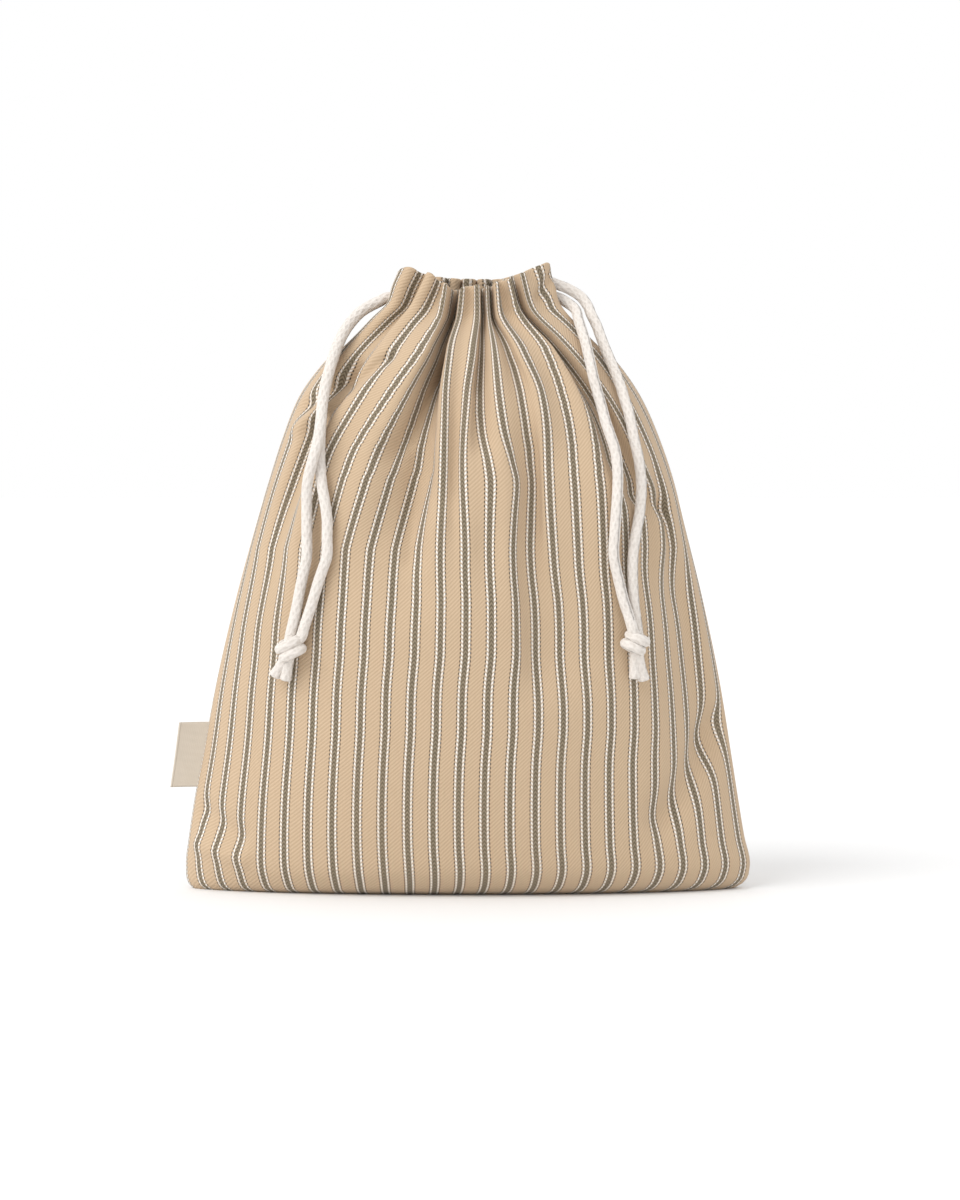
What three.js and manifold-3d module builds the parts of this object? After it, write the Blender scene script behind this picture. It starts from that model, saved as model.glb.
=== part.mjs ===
// A standing drawstring washbag of striped ticking: two cloth panels sewn at the sides and under the base,
// gathered at the neck, with two knotted pairs of drawcord strands and a blank folded label in the left seam.
// Millimetres, +Z up. The front faces -Y and the left side seam lies at -X.
import * as THREE from "three";
import Module from "manifold-3d";

const wasm = await Module();
wasm.setup();
const { CrossSection, Manifold } = wasm;

// Driving sizes of the cloth
const PITCH = 11.7; // one repeat of the stripe, which also counts the places of the folds
const PANEL_WIDTH = 24.6 * PITCH; // cloth of one panel from seam to seam
const CLOTH = 1.2; // thickness of the cloth
const HEM = 1.3; // thickness of the turned-in rim
const HEM_START = 262; // height where the rim's hem begins
const HEM_EASE = 10; // height over which the rim thickens
const RIM = 288; // mean height of the rim
const RIM_LIFT_START = 250; // height where the rim's unevenness begins
const GAP = 0.3; // clearance between pieces that touch
const SEAM_SHORT = 0.96; // share of the footprint's length that the seam under the base takes
const SEAM_GROOVE = 44; // cloth width of the groove at each side seam, across both panels
const SEAM_SLOPE = 1.3; // steepest slope of that groove, in radians
const GROOVE_START = 246; // height where the groove begins
const GROOVE_FULL = 272; // height where it is at full depth
const SOFT_EASE = 30; // height over which a soft fold fades in or out
const SEAM_EASE = 12; // cloth width beside a seam that the buckles leave flat
const TIGHTEST = 1.5; // largest slope that a trough's flank may reach, in radians
const EASE_IN = 0.03; // share of spare cloth over which a trough sets in softly
const GATHER_START = 120; // height where the troughs between the crests begin
const GATHER_FULL = 190; // height where they are at full depth

// Driving sizes of the cords and the label
const CORD = 5; // diameter of the drawcord
const CORD_SIDES = 10;
const CORD_STEP = 10; // length of one step along a cord
const WRAP_FLAT = 0.8; // depth of a knot's wrap as a share of its width
const LABEL_LAYER = 0.7; // thickness of one layer of the label
const LABEL_SLIT = 0.5; // space between its two layers
const LABEL_FOLD = 0.93; // share of its width where the space ends at the fold
const LABEL_OUT = { foot: 12.4, top: 14 }; // how far the label stands out of the seam
const LABEL_Z = { foot: 47.8, top: 78.3 };

// Points across one panel, and heights of the rows of points up its wall, closer where the cloth turns.
const COLUMNS = 60;
const SAMPLES = 300; // steps along a row when its folds are worked out
const FLAT_SHARES = [0, 0.5]; // rows under the base, from its seam out to the footprint's edge
const ROWS = [
  2, 6, 12, 24, 42, 60, 78, 96, 114, 132, 149, 165, 180, 194, 206, 217, 227, 236, 244, 251, 257, 263, 268,
  274, 281, RIM,
];

// Outline of the bag by height: its side seams, its depth in front of or behind them, and how square its
// middle and how blunt its seam tips are.
const LEVELS = [
  { z: 0, left: -125, right: 129, depth: 24, square: 2.2, tip: 0.68 },
  { z: 2, left: -127, right: 133, depth: 31, square: 2.2, tip: 0.68 },
  { z: 6, left: -128.2, right: 136, depth: 36, square: 2.2, tip: 0.68 },
  { z: 12, left: -128.4, right: 136.8, depth: 41, square: 2.2, tip: 0.68 },
  { z: 24, left: -127, right: 134.2, depth: 45, square: 2.2, tip: 0.69 },
  { z: 42, left: -124.3, right: 131.2, depth: 49.5, square: 2.2, tip: 0.7 },
  { z: 61, left: -120.6, right: 128.2, depth: 53.5, square: 2.2, tip: 0.7 },
  { z: 98, left: -113.6, right: 122.2, depth: 59, square: 2.2, tip: 0.64 },
  { z: 136, left: -104.6, right: 114.2, depth: 63, square: 2.3, tip: 0.55 },
  { z: 173, left: -94.3, right: 105, depth: 65, square: 2.4, tip: 0.47 },
  { z: 192, left: -88.6, right: 100.2, depth: 64, square: 2.4, tip: 0.44 },
  { z: 211, left: -82.5, right: 93.8, depth: 60, square: 2.3, tip: 0.44 },
  { z: 230, left: -75, right: 85.4, depth: 54, square: 2.2, tip: 0.46 },
  { z: 248, left: -62, right: 73, depth: 45, square: 2.0, tip: 0.5 },
  { z: 258, left: -52, right: 63, depth: 37, square: 2.0, tip: 0.5 },
  { z: 267, left: -43, right: 53, depth: 30, square: 2.0, tip: 0.5 },
  { z: 274, left: -35.5, right: 47.8, depth: 26.5, square: 2.0, tip: 0.5 },
  { z: 281, left: -34, right: 46.8, depth: 25.5, square: 2.0, tip: 0.5 },
  { z: 288, left: -31.5, right: 45, depth: 25, square: 2.0, tip: 0.5 },
];

// Crests of the gathered cloth. Each one lies at a count of stripes from the left seam, at the neck and at
// its foot, and stands at a place across at each height. The trough between it and the next crest takes up
// the spare cloth and has its bottom at a share of the way across.
const FRONT_CRESTS = [
  {
    neck: 2.4, foot: 2.4, bottom: 0.5,
    path: [
      { z: 160, x: -90.5 }, { z: 180, x: -85.2 }, { z: 200, x: -78.5 }, { z: 229, x: -66.5 },
      { z: 243, x: -58 }, { z: 254, x: -49.5 }, { z: 266, x: -38 }, { z: 273, x: -32 },
      { z: 281, x: -29.5 }, { z: 288, x: -26.5 },
    ],
  },
  {
    neck: 4.5, foot: 4.5, bottom: 0.5,
    path: [
      { z: 160, x: -75.5 }, { z: 200, x: -65.5 }, { z: 229, x: -50.5 }, { z: 241, x: -43 },
      { z: 260, x: -30.5 }, { z: 273, x: -20.5 }, { z: 288, x: -12.5 },
    ],
  },
  {
    neck: 6, foot: 6.5, bottom: 0.74,
    path: [
      { z: 160, x: -55.8 }, { z: 200, x: -44.2 }, { z: 230, x: -28 }, { z: 240, x: -22 },
      { z: 251, x: -15.5 }, { z: 273, x: -7.8 }, { z: 288, x: -6 },
    ],
  },
  {
    neck: 11, foot: 11, bottom: 0.5,
    path: [
      { z: 160, x: -8.3 }, { z: 200, x: -6.6 }, { z: 230, x: -6.2 }, { z: 251, x: -4.4 },
      { z: 273, x: -0.3 }, { z: 288, x: 1 },
    ],
  },
  {
    neck: 12.1, foot: 12.1, bottom: 0.38,
    path: [
      { z: 160, x: 4.2 }, { z: 200, x: 2.7 }, { z: 230, x: 4.6 }, { z: 251, x: 7.6 }, { z: 273, x: 9.5 },
      { z: 288, x: 9.2 },
    ],
  },
  {
    neck: 14, foot: 14, bottom: 0.45,
    path: [
      { z: 160, x: 24.7 }, { z: 200, x: 22.6 }, { z: 230, x: 18.2 }, { z: 251, x: 16.2 },
      { z: 273, x: 13.8 }, { z: 288, x: 13.2 },
    ],
  },
  {
    neck: 15.8, foot: 15.8, bottom: 0.5,
    path: [
      { z: 160, x: 40.5 }, { z: 200, x: 39.4 }, { z: 230, x: 36 }, { z: 251, x: 27.5 }, { z: 273, x: 18 },
      { z: 288, x: 17 },
    ],
  },
  {
    neck: 17, foot: 18.2, bottom: 0.7,
    path: [
      { z: 160, x: 68.4 }, { z: 185, x: 67.2 }, { z: 206, x: 64.4 }, { z: 218, x: 61 }, { z: 230, x: 56 },
      { z: 251, x: 44.5 }, { z: 273, x: 28.5 }, { z: 288, x: 24.5 },
    ],
  },
  {
    neck: 21, foot: 21, bottom: 0.5,
    path: [
      { z: 160, x: 95 }, { z: 178, x: 93 }, { z: 189, x: 88.8 }, { z: 200, x: 83.8 }, { z: 218, x: 75.2 },
      { z: 230, x: 68.2 }, { z: 243, x: 58.5 }, { z: 256, x: 47.5 }, { z: 273, x: 33 }, { z: 288, x: 29 },
    ],
  },
  {
    neck: 22.3, foot: 22.3, bottom: 0.5,
    path: [
      { z: 160, x: 101.5 }, { z: 180, x: 98.6 }, { z: 200, x: 92.5 }, { z: 215, x: 86.5 },
      { z: 230, x: 79 }, { z: 250, x: 66 }, { z: 262, x: 54.5 }, { z: 271, x: 45.4 }, { z: 281, x: 42.4 },
      { z: 288, x: 40 },
    ],
  },
];
const BACK_CRESTS = [
  {
    neck: 2.4, foot: 2.4, bottom: 0.5,
    path: [
      { z: 160, x: -90.5 }, { z: 180, x: -85.2 }, { z: 200, x: -78.5 }, { z: 229, x: -66.5 },
      { z: 243, x: -58 }, { z: 254, x: -49.5 }, { z: 266, x: -38 }, { z: 273, x: -32 },
      { z: 281, x: -29.5 }, { z: 288, x: -26.5 },
    ],
  },
  {
    neck: 4.6, foot: 4.6, bottom: 0.5,
    path: [
      { z: 160, x: -74.7 }, { z: 200, x: -64.5 }, { z: 230, x: -49 }, { z: 255, x: -31 },
      { z: 273, x: -20 }, { z: 288, x: -15 },
    ],
  },
  {
    neck: 7.1, foot: 7.2, bottom: 0.6,
    path: [
      { z: 160, x: -47.4 }, { z: 200, x: -42.5 }, { z: 230, x: -32 }, { z: 255, x: -18.5 },
      { z: 273, x: -10.5 }, { z: 288, x: -7.5 },
    ],
  },
  {
    neck: 9.7, foot: 9.6, bottom: 0.5,
    path: [
      { z: 160, x: -26 }, { z: 200, x: -20 }, { z: 230, x: -13 }, { z: 255, x: -6 }, { z: 273, x: -1.5 },
      { z: 288, x: 0 },
    ],
  },
  {
    neck: 12.5, foot: 12.4, bottom: 0.4,
    path: [
      { z: 160, x: 5.5 }, { z: 200, x: 8 }, { z: 230, x: 9.5 }, { z: 255, x: 9 }, { z: 273, x: 8.5 },
      { z: 288, x: 8.5 },
    ],
  },
  {
    neck: 15.1, foot: 15.2, bottom: 0.5,
    path: [
      { z: 160, x: 36.5 }, { z: 200, x: 35.8 }, { z: 230, x: 32 }, { z: 255, x: 22.5 },
      { z: 273, x: 17.5 }, { z: 288, x: 16.5 },
    ],
  },
  {
    neck: 17.6, foot: 17.8, bottom: 0.6,
    path: [
      { z: 160, x: 62.5 }, { z: 200, x: 60 }, { z: 230, x: 51 }, { z: 255, x: 36 }, { z: 273, x: 26.5 },
      { z: 288, x: 24 },
    ],
  },
  {
    neck: 20.1, foot: 20.2, bottom: 0.5,
    path: [
      { z: 160, x: 86 }, { z: 200, x: 79.5 }, { z: 230, x: 66.5 }, { z: 255, x: 49 }, { z: 273, x: 35 },
      { z: 288, x: 31 },
    ],
  },
  {
    neck: 22.3, foot: 22.3, bottom: 0.5,
    path: [
      { z: 160, x: 101.5 }, { z: 180, x: 98.6 }, { z: 200, x: 92.5 }, { z: 215, x: 86.5 },
      { z: 230, x: 79 }, { z: 250, x: 66 }, { z: 262, x: 54.5 }, { z: 271, x: 45.4 }, { z: 281, x: 42.4 },
      { z: 288, x: 40 },
    ],
  },
];

// Soft lengthwise folds of the body: a trough between two heights, at a count of stripes at its top and its
// foot, with the cloth widths of its left and right flanks and the slope of the left one in radians.
const FRONT_SOFT = [
  { top: 14.6, foot: 15.2, left: 15, right: 46, slope: 0.75, high: 225, low: 85 },
  { top: 22.0, foot: 22.9, left: 40, right: 14, slope: 0.22, high: 165, low: 50 },
];
const BACK_SOFT = [
  { top: 8.2, foot: 7.6, left: 40, right: 18, slope: 0.35, high: 190, low: 70 },
  { top: 17.6, foot: 18.4, left: 18, right: 44, slope: 0.6, high: 180, low: 60 },
];

// Buckles pressed into the cloth: a crease from a high point to a low one, in stripes and height. A ridge has
// a depth below zero.
const FRONT_BUCKLES = [
  { from: 24.0, high: 84, to: 21.0, low: 28, width: 10, depth: 7.5 },
  { from: 9.2, high: 168, to: 9.9, low: 142, width: 20, depth: 2.5 },
  { from: 1.0, high: 38, to: 3.0, low: 27, width: 7, depth: 3 },
  { from: 0.8, high: 22, to: 3.2, low: 16.5, width: 6, depth: -2.5 },
  { from: 19.8, high: 184, to: 21.6, low: 178, width: 7, depth: 3 },
  { from: 10.2, high: 196, to: 10.8, low: 182, width: 9, depth: 2.5 },
];
const BACK_BUCKLES = [
  { from: 2.2, high: 120, to: 3.4, low: 60, width: 16, depth: 4 },
  { from: 21.6, high: 90, to: 20.4, low: 40, width: 16, depth: 4 },
];

// Height of the rim above or below its mean, by count of stripes from the left seam.
const FRONT_RIM = [
  { at: 0, lift: -5 }, { at: 1, lift: -2.5 }, { at: 2.4, lift: 1.8 }, { at: 4.5, lift: -2 },
  { at: 6, lift: -7 }, { at: 8, lift: -9.2 }, { at: 12, lift: -8.8 }, { at: 14, lift: -9 },
  { at: 16, lift: -7.2 }, { at: 17.5, lift: -5 }, { at: 21, lift: -1.5 }, { at: 23, lift: 3.8 },
  { at: 24.6, lift: -1 },
];
const BACK_RIM = [
  { at: 0, lift: -5 }, { at: 1.5, lift: -2 }, { at: 4, lift: -2.2 }, { at: 9, lift: -3 },
  { at: 16, lift: -3.2 }, { at: 20, lift: -3 }, { at: 23, lift: 2 }, { at: 24.6, lift: -1 },
];

// Middle lines of the drawcord strands, from the groove at the end of the neck over the shoulder and down the
// front to just above their knot. The left strands lie one over the other down the shoulder and then part.
const STRANDS = {
  cord_left_a: [
    [-34.5, -2.8, 276.6], [-37, -3.8, 275.2], [-42, -5.8, 272.6], [-46, -8.5, 269.8], [-49.8, -12, 265.5],
    [-53.2, -18.6, 260], [-55.7, -25.2, 254], [-57.5, -31, 248.2], [-59, -35, 242.2], [-60.4, -38, 236.6],
    [-61.8, -43.2, 227.5], [-62.4, -49.6, 217.9], [-63.6, -53.6, 208.6], [-66, -55.4, 199.6],
    [-68.2, -53.8, 190], [-68.6, -51.8, 179], [-68.6, -51.9, 167.6], [-68.7, -51.9, 157],
    [-70, -51.1, 150.3], [-71.4, -50.2, 144], [-73.8, -49.2, 132], [-76.4, -48.6, 120.9],
  ],
  cord_left_b: [
    [-34.5, 2.8, 276.6], [-37, 2, 275.2], [-42, 0.8, 272.6], [-46, -1.5, 269.8], [-49.8, -5, 265.5],
    [-53.2, -11, 260], [-55.7, -17.4, 254], [-57.5, -23.4, 248.2], [-59.2, -27.6, 242.2],
    [-60.4, -30.8, 236.6], [-61.9, -35.6, 227.5], [-62.5, -42, 217.9], [-62.8, -47.2, 208.5],
    [-62.6, -50.6, 199], [-61.6, -53.4, 189], [-60.2, -55.4, 181.4], [-59.2, -56.5, 174],
    [-59.2, -56.8, 165.6], [-59.3, -56.6, 157.4], [-61, -55.8, 152], [-63, -54.6, 146.4],
    [-66.2, -52.8, 136], [-69.2, -51.2, 127], [-71.4, -50.6, 120.3],
  ],
  cord_right_a: [
    [43, 0, 284], [46, 0, 283], [51.6, 0.4, 280.8], [57, -0.8, 277.2], [60, -3.4, 273], [61.7, -7, 268.5],
    [64, -10, 263.5], [65.8, -14, 258], [67.8, -18.8, 252.2], [70, -23.4, 246.5], [72.2, -27.4, 240.8],
    [74.3, -31.2, 234.8], [75.9, -34.6, 229], [77.7, -37.4, 222.8], [79, -39.9, 216.5], [80, -41.9, 210.5],
    [82, -43.8, 201.5], [83.3, -44.2, 190], [82.6, -46.2, 178.3], [80.6, -50.6, 167.2],
    [79.2, -51.9, 157.2], [79.2, -51.4, 144], [80.2, -50.2, 132], [81.4, -49.6, 123.6],
  ],
  cord_right_b: [
    [43, 0, 277.5], [46, 0, 277], [51, -3.4, 274], [54.4, -8.8, 270.6], [55.6, -14.8, 265.4],
    [57, -20.4, 260.3], [58.4, -26, 255], [59.4, -31, 249.9], [60.6, -35.2, 244], [61.7, -38, 238.3],
    [65.4, -41.2, 224.7], [67, -45.2, 218], [68.8, -48, 212.5], [71.3, -50.4, 204.3], [72.2, -52.7, 194.9],
    [72.1, -54, 188], [71.7, -55.4, 181.3], [70.8, -56.5, 169], [70.4, -56.3, 157.4], [72.6, -54.9, 146.5],
    [75, -54.5, 136.9], [77.6, -54.8, 129], [79.2, -55, 123.4],
  ],
};

// Each knot: its middle, the half sizes of its core, the radius and tilt in degrees of the turn wrapped round
// it, and the cut ends of its two tails.
const KNOTS = {
  knot_left: {
    at: [-76.2, -49.8, 115.2],
    core: [4.6, 4.4, 4.6],
    ring: 4.5,
    tilt: -24,
    tails: [[-83.6, -43.4, 102.7], [-78.6, -45, 101]],
  },
  knot_right: {
    at: [80.2, -52.6, 118],
    core: [4.8, 4.6, 5],
    ring: 3.8,
    tilt: 28,
    tails: [[80.3, -48, 102], [84.4, -46.8, 101]],
  },
};

const { clamp, lerp, smoothstep } = THREE.MathUtils;

// Smooth value of one column of a table at a place along its key column, with no overshoot.
function valueAt(table, key, column, place) {
  const last = table.length - 1;
  if (place <= table[0][key]) return table[0][column];
  if (place >= table[last][key]) return table[last][column];
  const i = table.findIndex((row, k) => place < table[k + 1][key]);
  const slope = (k) => (table[k + 1][column] - table[k][column]) / (table[k + 1][key] - table[k][key]);
  const tangent = (k) => {
    if (k === 0 || k === last) return slope(Math.min(k, last - 1));
    const before = slope(k - 1);
    const after = slope(k);
    return before * after > 0 ? (2 * before * after) / (before + after) : 0;
  };
  const span = table[i + 1][key] - table[i][key];
  const t = (place - table[i][key]) / span;
  const rise = t * t * (3 - 2 * t);
  const bend = span * t * (1 - t) * (tangent(i) * (1 - t) - tangent(i + 1) * t);
  return lerp(table[i][column], table[i + 1][column], rise) + bend;
}

// Unfolded outline of one panel at a height: points from the left seam to the right with their run of length.
function outlineAt(side, z) {
  const steps = 160;
  const [left, right, depth, square, tip] = ["left", "right", "depth", "square", "tip"].map((column) =>
    valueAt(LEVELS, "z", column, z),
  );
  const points = [];
  for (let i = 0; i <= steps; i++) {
    const across = Math.sin(Math.PI * (i / steps - 0.5));
    const bulge = Math.pow(Math.max(0, 1 - Math.pow(Math.abs(across), square)), tip);
    points.push(new THREE.Vector2(lerp(left, right, (1 + across) / 2), side * depth * bulge));
  }
  const runs = [0];
  for (let i = 1; i <= steps; i++) runs.push(runs[i - 1] + points[i].distanceTo(points[i - 1]));
  return { points, runs, length: runs[steps], side };
}

// Point of an outline at a run of length, moved out along the outline's normal.
function pointOn(outline, run, out) {
  const { points, runs, side } = outline;
  let i = runs.findIndex((r) => r > run) - 1;
  if (i < 0) i = run <= 0 ? 0 : points.length - 2;
  const along = points[i + 1].clone().sub(points[i]).normalize();
  const p = points[i].clone().addScaledVector(along, run - runs[i]);
  return p.add(new THREE.Vector2(-along.y, along.x).multiplyScalar(side * out));
}

// Value at a place on the line through points whose places rise.
function lineAt(places, values, place) {
  const last = places.length - 1;
  if (place <= places[0]) return values[0];
  if (place >= places[last]) return values[last];
  const i = places.findIndex((p) => p > place) - 1;
  return lerp(values[i], values[i + 1], (place - places[i]) / (places[i + 1] - places[i]));
}

// Sine-shaped flanks by their steepness: the shares of their cloth width that they cover and that they sink.
const STEEPS = 60;
const PHASES = 30;
const STEEP = Array.from({ length: STEEPS + 1 }, (_, i) => (TIGHTEST * i) / STEEPS);
const FLANK = Array.from({ length: PHASES }, (_, i) => Math.sin((Math.PI * (i + 0.5)) / PHASES));
const mean = (values) => values.reduce((sum, v) => sum + v, 0) / values.length;
const COVERED = STEEP.map((steep) => mean(FLANK.map((f) => Math.cos(steep * f))));
const SUNK = STEEP.map((steep) => mean(FLANK.map((f) => Math.sin(steep * f))));

// Steepness of a trough's two flanks that draws its cloth in to a share, with its bottom that far along.
function flankSlopes(share, bottom) {
  const narrow = Math.min(bottom, 1 - bottom);
  const wide = 1 - narrow;
  const gentle = SUNK.map((s) => lineAt(SUNK, STEEP, (s * narrow) / wide));
  const covers = gentle.map((g, i) => narrow * COVERED[i] + wide * lineAt(STEEP, COVERED, g));
  const spare = (1 - share + Math.hypot(1 - share, EASE_IN)) / 2;
  const steep = lineAt(covers.toReversed(), STEEP.toReversed(), 1 - spare);
  const slopes = [steep, lineAt(STEEP, gentle, steep)];
  return bottom < 0.5 ? slopes : slopes.reverse();
}

// Slope from the soft folds, steep on a narrow flank and gentle on a wide one.
function softSlope(softs, u, z) {
  let slope = 0;
  for (const fold of softs) {
    const up = clamp((z - fold.low) / (fold.high - fold.low), 0, 1);
    const fromTrough = u - PITCH * lerp(fold.foot, fold.top, up);
    const fadeIn = smoothstep(z, fold.low, fold.low + SOFT_EASE);
    const strength = fold.slope * fadeIn * (1 - smoothstep(z, fold.high - SOFT_EASE, fold.high));
    const before = 1 + fromTrough / fold.left;
    const after = fromTrough / fold.right;
    if (before > 0 && before < 1) slope -= strength * Math.sin(Math.PI * before);
    if (after > 0 && after < 1) slope += strength * (fold.left / fold.right) * Math.sin(Math.PI * after);
  }
  return slope;
}

// Slope of the grooves at the two side seams, the same on both panels so that their edges meet.
function seamSlope(u, z) {
  const fromEdge = Math.min(u, PANEL_WIDTH - u);
  if (fromEdge > SEAM_GROOVE / 2) return 0;
  const strength = SEAM_SLOPE * smoothstep(z, GROOVE_START, GROOVE_FULL);
  return Math.sign(PANEL_WIDTH / 2 - u) * strength * Math.sin((2 * Math.PI * fromEdge) / SEAM_GROOVE);
}

// Depth that the buckles press into the cloth at a point, none at the seams.
function buckleDepth(buckles, u, z) {
  let depth = 0;
  for (const b of buckles) {
    const start = new THREE.Vector2(b.from * PITCH, b.high);
    const line = new THREE.Vector2(b.to * PITCH, b.low).sub(start);
    const off = new THREE.Vector2(u, z).sub(start);
    const t = clamp(off.dot(line) / line.lengthSq(), 0, 1);
    const away = off.addScaledVector(line, -t).length() / b.width;
    depth += b.depth * Math.exp(-2 * away * away);
  }
  return depth * smoothstep(Math.min(u, PANEL_WIDTH - u), 0, SEAM_EASE);
}

// One row of a panel's outer face: the crests stand where they are placed, and the troughs between them take
// the spare cloth.
function rowAt(panel, z) {
  const du = PANEL_WIDTH / SAMPLES;
  const outline = outlineAt(panel.side, z);
  const places = Array.from({ length: SAMPLES + 1 }, (_, i) => i * du);
  const middles = places.slice(0, SAMPLES).map((u) => u + du / 2);
  const seams = middles.map((u) => seamSlope(u, z));
  const slopes = middles.map((u, i) => seams[i] + softSlope(panel.softs, u, z));
  const widths = slopes.map((s) => Math.cos(s) * du);
  const loose = [0];
  for (const width of widths) loose.push(loose.at(-1) + width);
  const stretch = outline.length / loose[SAMPLES];
  const gathered = smoothstep(z, GATHER_START, GATHER_FULL);
  const up = smoothstep(z, GATHER_FULL, RIM);

  const across = outline.points.map((p) => p.x);
  const crests = [{ at: 0, run: 0, bottom: 0.5 }];
  for (const { neck, foot, bottom, path } of panel.crests) {
    const at = PITCH * lerp(foot, neck, up);
    const stands = lineAt(across, outline.runs, valueAt(path, "z", "x", z));
    const run = lerp(lineAt(places, loose, at) * stretch, stands, gathered);
    crests.push({ at, run, bottom: lerp(bottom, 0.5, up) });
  }
  crests.push({ at: PANEL_WIDTH, run: outline.length });

  const runs = [0];
  crests.slice(0, -1).forEach(({ at, run, bottom }, k) => {
    const next = crests[k + 1];
    const inside = middles.flatMap((u, i) => (u >= at && u < next.at ? [i] : []));
    const width = inside.reduce((sum, i) => sum + widths[i], 0);
    const besideSeam = at === 0 || next.at === PANEL_WIDTH;
    const [fall, rise] = besideSeam ? [0, 0] : flankSlopes((next.run - run) / width, bottom);
    for (const i of inside) {
      const t = (middles[i] - at) / (next.at - at);
      const falling = -fall * Math.sin(Math.PI * Math.min(t / bottom, 1));
      const rising = rise * Math.sin(Math.PI * Math.max((t - bottom) / (1 - bottom), 0));
      slopes[i] += gathered * (falling + rising);
    }
    const covered = inside.reduce((sum, i) => sum + Math.cos(slopes[i]), 0);
    for (const i of inside) runs.push(runs.at(-1) + (Math.cos(slopes[i]) * (next.run - run)) / covered);
  });
  const outs = [0];
  for (const slope of slopes) outs.push(outs.at(-1) + Math.sin(slope) * du);
  const groove = seams.slice(0, SAMPLES / 2).reduce((sum, s) => sum + Math.sin(s) * du, 0);
  const drift = outs[SAMPLES] / SAMPLES;
  const row = [];
  for (let i = 0; i <= COLUMNS; i++) {
    const place = (i / COLUMNS) * SAMPLES;
    const k = Math.min(SAMPLES - 1, Math.floor(place));
    const u = place * du;
    const run = lerp(runs[k], runs[k + 1], place - k);
    const out = lerp(outs[k], outs[k + 1], place - k) - drift * place - groove;
    const p = pointOn(outline, run, out - buckleDepth(panel.buckles, u, z));
    const lift = valueAt(panel.rim, "at", "lift", u / PITCH) * smoothstep(z, RIM_LIFT_START, RIM);
    const atSeam = i === 0 || i === COLUMNS;
    const depth = atSeam ? 0 : panel.side * p.y;
    row.push(new THREE.Vector3(p.x, panel.side * Math.max(GAP / 2, depth), z + lift));
  }
  return row;
}

// Outer face of a panel, row by row: flat under the base from the base seam, then up the wall to the rim.
function outerRows(panel) {
  const foot = rowAt(panel, 0);
  const middle = (LEVELS[0].left + LEVELS[0].right) / 2;
  const flat = FLAT_SHARES.map((share) =>
    foot.map((p) => {
      const x = middle + (p.x - middle) * lerp(SEAM_SHORT, 1, share);
      return new THREE.Vector3(x, lerp((panel.side * GAP) / 2, p.y, share), 0);
    }),
  );
  return [...flat, foot, ...ROWS.map((z) => rowAt(panel, z))];
}

// A cloth panel as a closed sheet: its outer face, its inner face a thickness in, and its four edges.
function panelGeometry(panel) {
  const outer = outerRows(panel);
  const top = outer.length - 1;
  const inner = outer.map((row, j) =>
    row.map((p, i) => {
      const across = row[Math.min(i + 1, COLUMNS)].clone().sub(row[Math.max(i - 1, 0)]);
      const up = outer[Math.min(j + 1, top)][i].clone().sub(outer[Math.max(j - 1, 0)][i]);
      const normal = across.cross(up).multiplyScalar(-panel.side);
      if (j < FLAT_SHARES.length) normal.set(0, 0, -1);
      if (i === 0 || i === COLUMNS) normal.y = 0;
      const thick = lerp(CLOTH, HEM, smoothstep(p.z, HEM_START, HEM_START + HEM_EASE));
      return p.clone().addScaledVector(normal.normalize(), -thick);
    }),
  );

  const wide = COLUMNS + 1;
  const out = (j, i) => j * wide + i;
  const into = (j, i) => (top + 1 + j) * wide + i;
  const triangles = [];
  const quad = (a, b, c, d) => {
    triangles.push(...(panel.side < 0 ? [a, b, c, a, c, d] : [a, c, b, a, d, c]));
  };
  for (let j = 0; j < top; j++) {
    for (let i = 0; i < COLUMNS; i++) {
      const rising = outer[j][i].distanceTo(outer[j + 1][i + 1]);
      if (rising < outer[j][i + 1].distanceTo(outer[j + 1][i])) {
        quad(out(j, i), out(j, i + 1), out(j + 1, i + 1), out(j + 1, i));
        quad(into(j, i), into(j + 1, i), into(j + 1, i + 1), into(j, i + 1));
      } else {
        quad(out(j, i + 1), out(j + 1, i + 1), out(j + 1, i), out(j, i));
        quad(into(j + 1, i), into(j + 1, i + 1), into(j, i + 1), into(j, i));
      }
    }
    quad(into(j, 0), out(j, 0), out(j + 1, 0), into(j + 1, 0));
    quad(out(j, COLUMNS), into(j, COLUMNS), into(j + 1, COLUMNS), out(j + 1, COLUMNS));
  }
  for (let i = 0; i < COLUMNS; i++) {
    quad(into(0, i), into(0, i + 1), out(0, i + 1), out(0, i));
    quad(out(top, i), out(top, i + 1), into(top, i + 1), into(top, i));
  }
  const places = [...outer, ...inner].flat().flatMap((p) => p.toArray());
  const geometry = new THREE.BufferGeometry();
  geometry.setAttribute("position", new THREE.Float32BufferAttribute(places, 3));
  geometry.setIndex(triangles);
  geometry.computeVertexNormals();
  return geometry;
}

// A round cord along a route, cut square at both ends.
function cordGeometry(route) {
  const path = new THREE.CatmullRomCurve3(route.map((p) => new THREE.Vector3(...p)), false, "centripetal");
  const corners = Array.from({ length: CORD_SIDES }, (_, i) => {
    const angle = (2 * Math.PI * i) / CORD_SIDES;
    return new THREE.Vector2(Math.cos(angle), Math.sin(angle)).multiplyScalar(CORD / 2);
  });
  const steps = Math.round(path.getLength() / CORD_STEP);
  const section = new THREE.Shape(corners);
  return new THREE.ExtrudeGeometry(section, { steps, extrudePath: path, bevelEnabled: false });
}

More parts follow.
